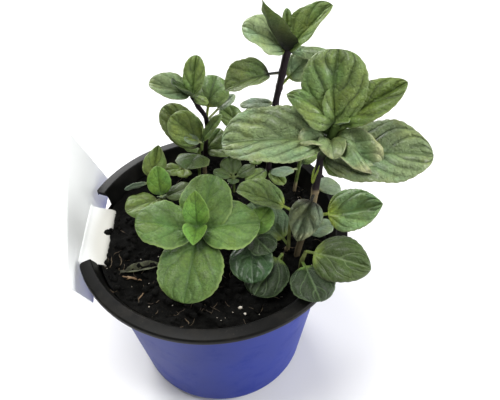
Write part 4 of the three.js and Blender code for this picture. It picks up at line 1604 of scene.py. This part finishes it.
class MINT_OT_label(bpy.types.Operator):
    """Cut and bend the bare card label"""

    bl_idname = "mint.label"
    bl_label = "Make Label"

    def execute(self, context):
        settings = context.scene.mint_label
        mesh = gathered_mesh("card_label", label_sheet(settings.bow / MM), sharp_from=50)
        shape = bmesh.new()
        shape.from_mesh(mesh)
        bmesh.ops.remove_doubles(shape, verts=shape.verts, dist=CARD_WELD * MM)
        bmesh.ops.recalc_face_normals(shape, faces=shape.faces)
        shape.to_mesh(mesh)
        shape.free()
        label = link("card_label", mesh, [card_material(settings.colour)], ["plant_label"])
        solid = label.modifiers.new("card", "SOLIDIFY")
        solid.thickness = settings.thickness
        solid.offset = 0
        bevel = label.modifiers.new("edge", "BEVEL")
        bevel.width = CARD_EDGE * MM
        bevel.segments = 2
        bevel.limit_method = "ANGLE"
        bevel.angle_limit = math.radians(60)
        apply_modifiers(label)
        label.data.set_sharp_from_angle(angle=math.radians(50))
        return {"FINISHED"}


def soft_light(name, place, size, power, colour):
    """A round lamp that faces the plant."""
    lamp = bpy.data.lights.new(name, "AREA")
    lamp.shape = "DISK"
    lamp.size = size
    lamp.energy = power
    lamp.color = colour
    thing = add_object(name, lamp)
    thing.location = place
    thing.rotation_euler = (LIT_POINT - thing.location).to_track_quat("-Z", "Y").to_euler()


def camera_matrix(settings):
    """The camera's place and turn, from its elevation, distance, pan, tilt and roll."""
    back = Vector((0, -math.cos(settings.elevation), math.sin(settings.elevation)))
    place = Vector((0, 0, settings.middle)) + back * settings.distance
    right = Vector((1, 0, 0))
    up = right.cross(-back)
    ahead = -back * math.cos(settings.pan) + right * math.sin(settings.pan)
    ahead = (ahead * math.cos(settings.tilt) + up * math.sin(settings.tilt)).normalized()
    side = ahead.cross(up).normalized()
    top = side.cross(ahead)
    turned_side = side * math.cos(settings.roll) + top * math.sin(settings.roll)
    turned_top = top * math.cos(settings.roll) - side * math.sin(settings.roll)
    matrix = Matrix((turned_side, turned_top, -ahead)).transposed().to_4x4()
    matrix.translation = place
    return matrix


class MINT_OT_stage(bpy.types.Operator):
    """Set the plain floor, the soft lights and the camera"""

    bl_idname = "mint.stage"
    bl_label = "Set Stage"

    def execute(self, context):
        scene = context.scene
        settings = scene.mint_stage
        mesh = bpy.data.meshes.new("floor")
        corners = [(x * FLOOR_HALF, y * FLOOR_HALF, 0) for x, y in ((-1, -1), (1, -1), (1, 1), (-1, 1))]
        mesh.from_pydata(corners, [], [(0, 1, 2, 3)])
        material, wires, shader = new_material("floor_paint")
        wires.feed(shader, Base_Color=settings.floor, Roughness=0.8, Specular_IOR_Level=0.2)
        mesh.materials.append(material)
        floor = add_object("floor", mesh)
        world = bpy.data.worlds.new("studio")
        world.use_nodes = True
        backdrop = world.node_tree.nodes["Background"]
        backdrop.inputs["Color"].default_value = (1, 1, 1, 1)
        backdrop.inputs["Strength"].default_value = settings.sky
        scene.world = world
        for name, power, place, size, colour in LIGHTS:
            soft_light(name, place, size, getattr(settings, power), colour)
        lens = bpy.data.cameras.new("camera")
        lens.lens = settings.lens
        camera = add_object("camera", lens)
        camera.matrix_world = camera_matrix(settings)
        scene.camera = camera
        scene.view_settings.view_transform = "Standard"
        return {"FINISHED"}


OPERATORS = (
    MINT_OT_stage,
    MINT_OT_pot,
    MINT_OT_soil,
    MINT_OT_litter,
    MINT_OT_label,
    MINT_OT_shoots,
)


class MINT_PT_panel(bpy.types.Panel):
    """Lists the plant's settings and steps."""

    bl_idname = "MINT_PT_panel"
    bl_label = "Mint Plant"
    bl_space_type = "VIEW_3D"
    bl_region_type = "UI"
    bl_category = "Mint Plant"

    def draw(self, context):
        for name, group in SETTINGS.items():
            box = self.layout.box()
            box.label(text=name.replace("mint_", "").title())
            for label in group.__annotations__:
                box.prop(getattr(context.scene, name), label)
        for operator in OPERATORS:
            self.layout.operator(operator.bl_idname)


def register():
    """Registers the settings, the operators and the panel."""
    for name, group in SETTINGS.items():
        bpy.utils.register_class(group)
        setattr(bpy.types.Scene, name, PointerProperty(type=group))
    for kind in (*OPERATORS, MINT_PT_panel):
        bpy.utils.register_class(kind)


def unregister():
    """Takes back what register did."""
    for kind in (MINT_PT_panel, *reversed(OPERATORS)):
        bpy.utils.unregister_class(kind)
    for name, group in SETTINGS.items():
        delattr(bpy.types.Scene, name)
        bpy.utils.unregister_class(group)


def main():
    """Builds the whole plant and its stage."""
    register()
    build_groups()
    bpy.ops.mint.stage()
    bpy.ops.mint.pot()
    bpy.ops.mint.soil()
    bpy.ops.mint.litter()
    bpy.ops.mint.label()
    bpy.ops.mint.shoots()


if __name__ == "__main__":
    main()
